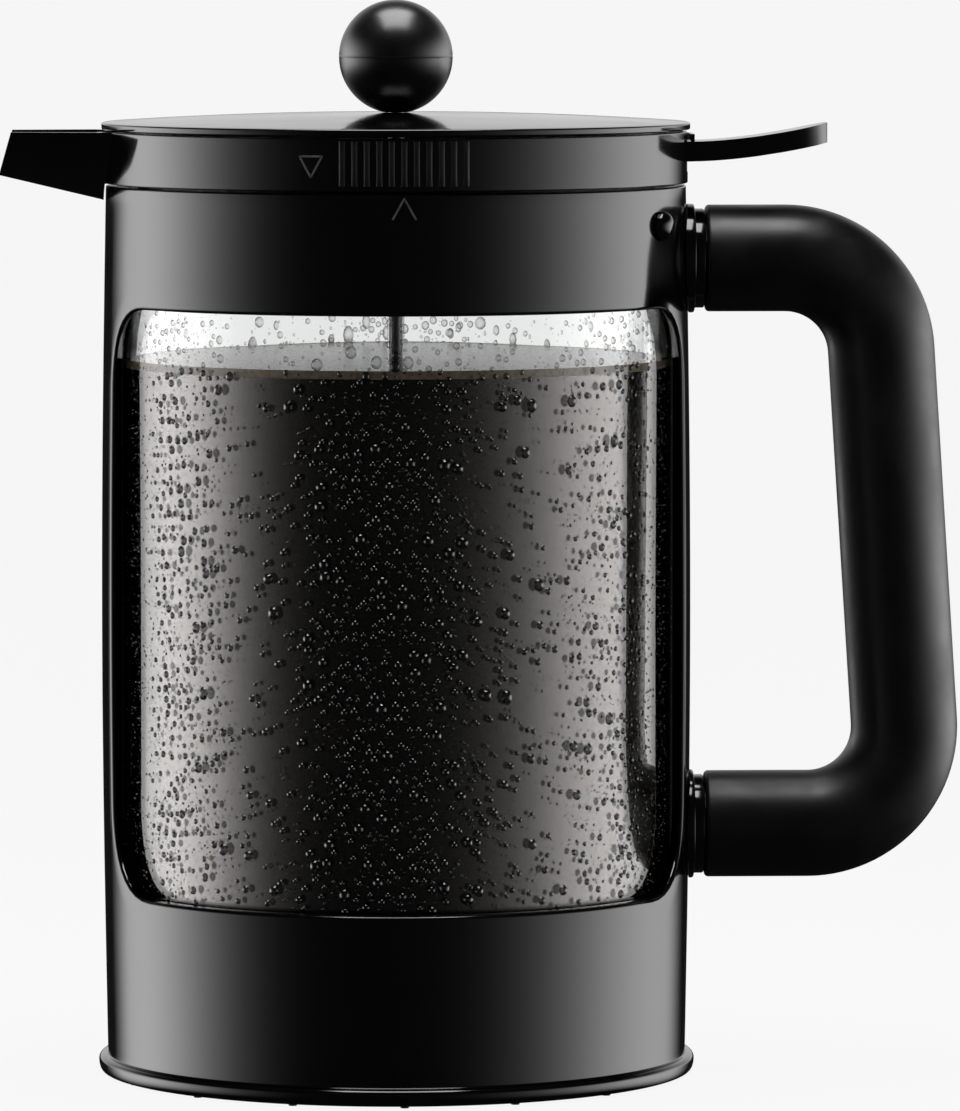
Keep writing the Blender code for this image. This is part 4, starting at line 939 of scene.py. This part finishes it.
def make_lever():
    """The lever's own solid with its edges rounded."""
    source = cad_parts["pour_lever"]
    shape = bmesh.new()
    shape.from_mesh(source.data)
    bmesh.ops.remove_doubles(shape, verts=shape.verts, dist=MERGE_DISTANCE)
    bmesh.ops.dissolve_limit(shape, angle_limit=radians(1.0), verts=shape.verts, edges=shape.edges)
    made = add_piece("thumb_lever", shape, GLOSS, "lever_body", ("pour_lever",), sharp=40.0)
    round_edges(made, LEVER_BEVEL, 4, 40.0)
    return made


def make_knob():
    flat = acos((KNOB_CENTRE - KNOB_BOTTOM) / KNOB_RADIUS)
    seam = KNOB_SEAM_HALF / KNOB_RADIUS
    angles = [(pi / 2 - seam) * i / 40 for i in range(41)]
    outline = [(KNOB_RADIUS * sin(angle), KNOB_CENTRE + KNOB_RADIUS * cos(angle)) for angle in angles]
    outline.append((KNOB_RADIUS + KNOB_SEAM_RISE, KNOB_CENTRE))
    angles = [pi / 2 + seam + (pi / 2 - seam - flat) * i / 40 for i in range(41)]
    outline += [(KNOB_RADIUS * sin(angle), KNOB_CENTRE + KNOB_RADIUS * cos(angle)) for angle in angles]
    outline += [(ROD_BORE, KNOB_BOTTOM), (ROD_BORE, KNOB_BOTTOM + KNOB_SOCKET),
                (0.0, KNOB_BOTTOM + KNOB_SOCKET)]
    shape = revolve_shape(outline, 128, closed=False)
    return add_piece("ball_knob", shape, KNOB, "plunger_body", ("plunger_knob",))


# Glass, coffee and drops

def make_glass():
    bore = GLASS_RADIUS - GLASS_WALL
    inner = GLASS_CORNER - GLASS_WALL
    rim = GLASS_WALL / 2
    outline = [(0.0, GLASS_BOTTOM + GLASS_FLOOR)]
    outline += arc((bore - inner, GLASS_BOTTOM + GLASS_FLOOR + inner), inner, -pi / 2, 0.0, 8)
    outline += [(bore, GLASS_BOTTOM + (GLASS_TOP - GLASS_BOTTOM) * i / 6) for i in range(1, 6)]
    outline += arc((GLASS_RADIUS - rim, GLASS_TOP - rim), rim, pi, 0.0, 8)
    outline += [(GLASS_RADIUS, GLASS_TOP - (GLASS_TOP - GLASS_BOTTOM) * i / 6) for i in range(1, 6)]
    outline += arc((GLASS_RADIUS - GLASS_CORNER, GLASS_BOTTOM + GLASS_CORNER), GLASS_CORNER, 0.0, -pi / 2, 8)
    outline.append((0.0, GLASS_BOTTOM))
    return add_piece("clear_beaker", revolve_shape(outline, 256, closed=False), GLASS, "frame_body",
                     ("glass_beaker",))


def make_coffee():
    bore = GLASS_RADIUS - GLASS_WALL + WET_DEPTH
    corner = GLASS_CORNER - GLASS_WALL
    floor = GLASS_BOTTOM + GLASS_FLOOR - WET_DEPTH
    outline = [(0.0, floor)] + arc((bore - corner, floor + corner), corner, -pi / 2, 0.0, 8)
    foam_bottom = COFFEE_LEVEL - FOAM_THICKNESS
    outline += [(bore, foam_bottom * i / 6 + floor * (1 - i / 6)) for i in range(2, 7)]
    outline += [(0.0, foam_bottom)]
    add_piece("coffee", revolve_shape(outline, 192, closed=False), COFFEE, "frame_body")
    foam = [(0.0, foam_bottom + FOAM_GAP), (bore, foam_bottom + FOAM_GAP),
            (bore, COFFEE_LEVEL + FOAM_RIM_RISE),
            (bore - FOAM_RIM_WIDTH, COFFEE_LEVEL + FOAM_SLOPE_RISE), (bore - FOAM_SLOPE_WIDTH, COFFEE_LEVEL),
            (0.0, COFFEE_LEVEL)]
    add_piece("coffee_foam", revolve_shape(foam, 192, closed=False), FOAM, "frame_body")


DROP_STAGES = ((900, 0.56, 1.0), (3600, 0.36, 0.56), (9000, 0.0, 0.26))
DROP_SMALLEST = 0.12 * MM
DROP_LARGEST = 1.25 * MM
SMALL_DROP = 0.42 * MM
DROP_MARGIN = 0.4 * MM
DROP_SPACING_SHARE = 1.1
DROP_TILTS = (76.0, 54.0, 28.0)
DROP_CELL = 2.0 * MM
DROP_SIZE_POWER = 1.8
DROP_STRETCH = 0.3


def drop_density(angle):
    """How thick the condensation lies: most near the window's sides and down its middle."""
    off = degrees(abs(angle))
    middle = exp(-((off - 3.0) / 15.0) ** 2)
    sides = exp(-((off - 62.0) / 18.0) ** 2)
    edges = max(0.0, min(1.0, (off - 66.0) / 4.0))
    return min(1.0, 0.2 + 0.8 * middle + 0.7 * sides + 0.6 * edges)


def largest_share(angle):
    """The largest drop's share of the full size: small drops only near the window's sides."""
    off = degrees(abs(angle))
    return min(1.0, max(0.2, (72.0 - off) / 24.0))


def add_drop(shape, centre_angle, along, height, size, stretch):
    """One round drop that stands on the glass with its edge just under the glass's surface."""
    radius = GLASS_RADIUS - WET_DEPTH
    small = size < SMALL_DROP
    around = 6 if small else 10
    rows = []
    full = radians(DROP_TILTS[0])
    for tilt in (radians(value) for value in (DROP_TILTS[:2] if small else DROP_TILTS)):
        wide, lift = sin(tilt) / sin(full), (cos(tilt) - cos(full)) / sin(full)
        row = []
        for k in range(around):
            angle = 2 * pi * k / around
            over, up = size * wide * cos(angle), size * wide * sin(angle) * stretch
            place = round_point(centre_angle + (along + over) / radius,
                                radius + size * lift, height + up)
            row.append(shape.verts.new(place))
        rows.append(row)
    peak = (1 - cos(full)) / sin(full)
    tip = shape.verts.new(round_point(centre_angle + along / radius, radius + size * peak, height))
    for first, second in zip(rows, rows[1:]):
        for i in range(around):
            j = (i + 1) % around
            shape.faces.new((first[i], first[j], second[j], second[i]))
    for i in range(around):
        shape.faces.new((rows[-1][i], rows[-1][(i + 1) % around], tip))
    shape.faces.new(rows[0][::-1])


def make_drops(name, centre_angle, seed, amount_share):
    """Condensation on the outside of the glass, inside one window, with no two drops touching."""
    rng = random.Random(seed)
    half = WINDOW_HALF_ANGLE * REVEAL_STRETCH * GLASS_RADIUS - DROP_MARGIN
    placed = {}
    shape = bmesh.new()
    for tries, low, high in DROP_STAGES:
        for _ in range(int(tries * amount_share)):
            along = rng.uniform(-half, half)
            height = rng.uniform(WINDOW_BOTTOM + DROP_MARGIN, WINDOW_TOP - DROP_MARGIN)
            share = low + (high - low) * rng.random() ** DROP_SIZE_POWER
            angle = along / GLASS_RADIUS
            if rng.random() > drop_density(angle) or share > largest_share(angle):
                continue
            size = DROP_SMALLEST + (DROP_LARGEST - DROP_SMALLEST) * share
            column, row = int(along // DROP_CELL), int(height // DROP_CELL)
            near = [other for i in (-1, 0, 1) for j in (-1, 0, 1)
                    for other in placed.get((column + i, row + j), ())]
            if any((along - x) ** 2 + (height - z) ** 2 < (DROP_SPACING_SHARE * (size + other)) ** 2
                   for x, z, other in near):
                continue
            placed.setdefault((column, row), []).append((along, height, size))
            add_drop(shape, centre_angle, along, height, size, 1.0 + DROP_STRETCH * rng.random() * share)
    bmesh.ops.recalc_face_normals(shape, faces=shape.faces)
    drops = mesh_object(name, shape)
    finish_mesh(drops.data, WATER, 75.0)
    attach(drops, "frame_body")


make_frame()
make_marks()
make_grip()
make_collars()
make_pegs()
make_lid_ring()
make_ribs()
make_disc()
make_lever()
make_knob()
make_glass()
make_coffee()
make_drops("condensation_front", -pi / 2, 4, 1.0)
make_drops("condensation_rear", pi / 2, 9, 0.4)

FINISHES = {
    "foot_ring": SILICONE, "beaker_cushion": SILICONE, "handle_core": NYLON, "handle_screw_upper": STEEL,
    "handle_screw_lower": STEEL, "lid_cup": NYLON, "lid_seal": SILICONE, "rod_bushing": SILICONE,
    "lever_pin": STEEL, "lever_spring": STEEL, "pour_valve": SILICONE, "plunger_rod": STEEL,
    "filter_nut": STEEL, "filter_cross_plate": STEEL, "filter_mesh": WEAVE, "filter_gasket": SILICONE,
    "filter_spacer": STEEL, "filter_spreader": STEEL, "rod_collar": STEEL}
for node, finish in FINISHES.items():
    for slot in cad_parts[node].material_slots:
        slot.material = finish


# Studio

BACKGROUND = 0.93
LIGHT_LEFT = 3.7
LIGHT_RIGHT = 3.0
LIGHT_TOP = 5.0
SOFTBOX_WIDTH = 0.32
SOFTBOX_DEPTH = 0.37
SOFTBOX_HEIGHT = 0.62
SOFTBOX_PLACE_Y = -0.025
FRONT_FILL = 0.015
BACKDROP = 0.92
FLOOR_COLOUR = (0.8, 0.8, 0.8)
FLOOR_GLOW_SHARE = 0.91


class Graph:
    """Short calls for Math nodes in a shader tree."""

    def __init__(self, tree):
        self.tree = tree

    def op(self, kind, *values):
        node = self.tree.nodes.new("ShaderNodeMath")
        node.operation = kind
        for socket, value in zip(node.inputs, values):
            if isinstance(value, (int, float)):
                socket.default_value = value
            else:
                self.tree.links.new(value, socket)
        return node.outputs[0]

    def smooth(self, value, start, end):
        node = self.tree.nodes.new("ShaderNodeMapRange")
        node.interpolation_type = "SMOOTHSTEP"
        self.tree.links.new(value, node.inputs["Value"])
        node.inputs["From Min"].default_value = start
        node.inputs["From Max"].default_value = end
        return node.outputs["Result"]

    def seen_directly(self):
        """One for what the camera sees, straight on or through glass and drops."""
        path = self.tree.nodes.new("ShaderNodeLightPath")
        straight = self.op("MULTIPLY", self.op("LESS_THAN", path.outputs["Glossy Depth"], 0.5),
                           self.op("LESS_THAN", path.outputs["Diffuse Depth"], 0.5))
        through = self.op("MULTIPLY", path.outputs["Is Transmission Ray"], straight)
        return self.op("MAXIMUM", path.outputs["Is Camera Ray"], through)

    def bell(self, value, centre, width):
        """A bell curve of this value."""
        away = self.op("DIVIDE", self.op("SUBTRACT", value, centre), width)
        return self.op("POWER", 2.718, self.op("MULTIPLY", self.op("MULTIPLY", away, away), -0.5))


def make_world():
    """Two large soft lights to the sides, a pale backdrop behind, and nearly dark in front."""
    world = bpy.data.worlds.new("studio")
    bpy.context.scene.world = world
    world.use_nodes = True
    tree = world.node_tree
    tree.nodes.clear()
    g = Graph(tree)
    place = tree.nodes.new("ShaderNodeTexCoord")
    split = tree.nodes.new("ShaderNodeSeparateXYZ")
    tree.links.new(place.outputs["Generated"], split.inputs[0])
    x, y, z = split.outputs
    azimuth = g.op("MULTIPLY", g.op("ARCTAN2", x, g.op("MULTIPLY", y, -1.0)), degrees(1.0))
    elevation = g.op("MULTIPLY", g.op("ARCSINE", z), degrees(1.0))
    behind = g.op("SUBTRACT", 1.0, g.smooth(g.op("ABSOLUTE", azimuth), 132.0, 157.0))
    upright = g.op("SUBTRACT", 1.0, g.smooth(g.op("ABSOLUTE", g.op("ADD", elevation, 3.0)), 5.0, 31.0))
    left = g.op("MULTIPLY", g.bell(azimuth, -112.0, 23.0), LIGHT_LEFT)
    right = g.op("MULTIPLY", g.bell(azimuth, 107.0, 28.0), LIGHT_RIGHT)
    sides = g.op("MULTIPLY", g.op("MULTIPLY", g.op("ADD", left, right), behind), upright)
    back = g.op("MULTIPLY", g.smooth(g.op("ABSOLUTE", azimuth), 120.0, 165.0),
                g.smooth(elevation, -0.5, 1.2))
    low = g.op("SUBTRACT", 1.0, g.smooth(elevation, 18.0, 45.0))
    back = g.op("MULTIPLY", g.op("MULTIPLY", back, low), BACKDROP)
    light = g.op("ADD", sides, g.op("ADD", back, FRONT_FILL))
    seen = g.seen_directly()
    studio = tree.nodes.new("ShaderNodeBackground")
    tree.links.new(light, studio.inputs["Strength"])
    pale = tree.nodes.new("ShaderNodeBackground")
    pale.inputs["Color"].default_value = (BACKGROUND, BACKGROUND, BACKGROUND, 1.0)
    mix = tree.nodes.new("ShaderNodeMixShader")
    out = tree.nodes.new("ShaderNodeOutputWorld")
    tree.links.new(seen, mix.inputs[0])
    tree.links.new(studio.outputs[0], mix.inputs[1])
    tree.links.new(pale.outputs[0], mix.inputs[2])
    tree.links.new(mix.outputs[0], out.inputs["Surface"])


def make_softbox():
    """The light overhead: close enough that the handle's upper arm shades the lower one."""
    lamp = bpy.data.lights.new("softbox", "AREA")
    lamp.shape = "RECTANGLE"
    lamp.size = SOFTBOX_WIDTH
    lamp.size_y = SOFTBOX_DEPTH
    lamp.energy = LIGHT_TOP * pi * SOFTBOX_WIDTH * SOFTBOX_DEPTH
    holder = bpy.data.objects.new("softbox", lamp)
    holder.location = (0.0, SOFTBOX_PLACE_Y, SOFTBOX_HEIGHT)
    bpy.context.scene.collection.objects.link(holder)


def make_floor():
    """A pale floor that reflections look past, so that they show the studio round it."""
    shape = bmesh.new()
    bmesh.ops.create_circle(shape, cap_ends=True, radius=60.0, segments=96)
    floor = mesh_object("floor", shape)
    made, tree, shader = make_nodes("floor")
    out = tree.nodes["Material Output"]
    g = Graph(tree)
    diffuse = tree.nodes.new("ShaderNodeBsdfDiffuse")
    diffuse.inputs["Color"].default_value = (*FLOOR_COLOUR, 1.0)
    pale = tree.nodes.new("ShaderNodeEmission")
    pale.inputs["Color"].default_value = (1.0, 1.0, 1.0, 1.0)
    lit = tree.nodes.new("ShaderNodeMixShader")
    tree.links.new(g.op("MULTIPLY", g.seen_directly(), FLOOR_GLOW_SHARE), lit.inputs[0])
    tree.links.new(diffuse.outputs[0], lit.inputs[1])
    tree.links.new(pale.outputs[0], lit.inputs[2])
    clear = tree.nodes.new("ShaderNodeBsdfTransparent")
    path = tree.nodes.new("ShaderNodeLightPath")
    mix = tree.nodes.new("ShaderNodeMixShader")
    tree.links.new(g.op("GREATER_THAN", path.outputs["Glossy Depth"], 0.5), mix.inputs[0])
    tree.links.new(lit.outputs[0], mix.inputs[1])
    tree.links.new(clear.outputs[0], mix.inputs[2])
    tree.links.new(mix.outputs[0], out.inputs["Surface"])
    tree.nodes.remove(shader)
    floor.data.materials.append(made)


def make_camera():
    camera = bpy.data.cameras.new("camera")
    camera.lens = CAMERA_LENS
    camera.clip_end = 200.0
    holder = bpy.data.objects.new("camera", camera)
    bpy.context.scene.collection.objects.link(holder)
    across, along = cos(CAMERA_AZIMUTH), sin(CAMERA_AZIMUTH)
    holder.location = (CAMERA_DISTANCE * along, -CAMERA_DISTANCE * across, CAMERA_HEIGHT)
    centre = Vector((VIEW_CENTRE_RIGHT * across, VIEW_CENTRE_RIGHT * along, VIEW_CENTRE_HEIGHT))
    holder.rotation_euler = (centre - holder.location).to_track_quat("-Z", "Y").to_euler()
    bpy.context.scene.camera = holder


make_world()
make_softbox()
make_floor()
make_camera()
bpy.context.scene.view_settings.view_transform = "Standard"
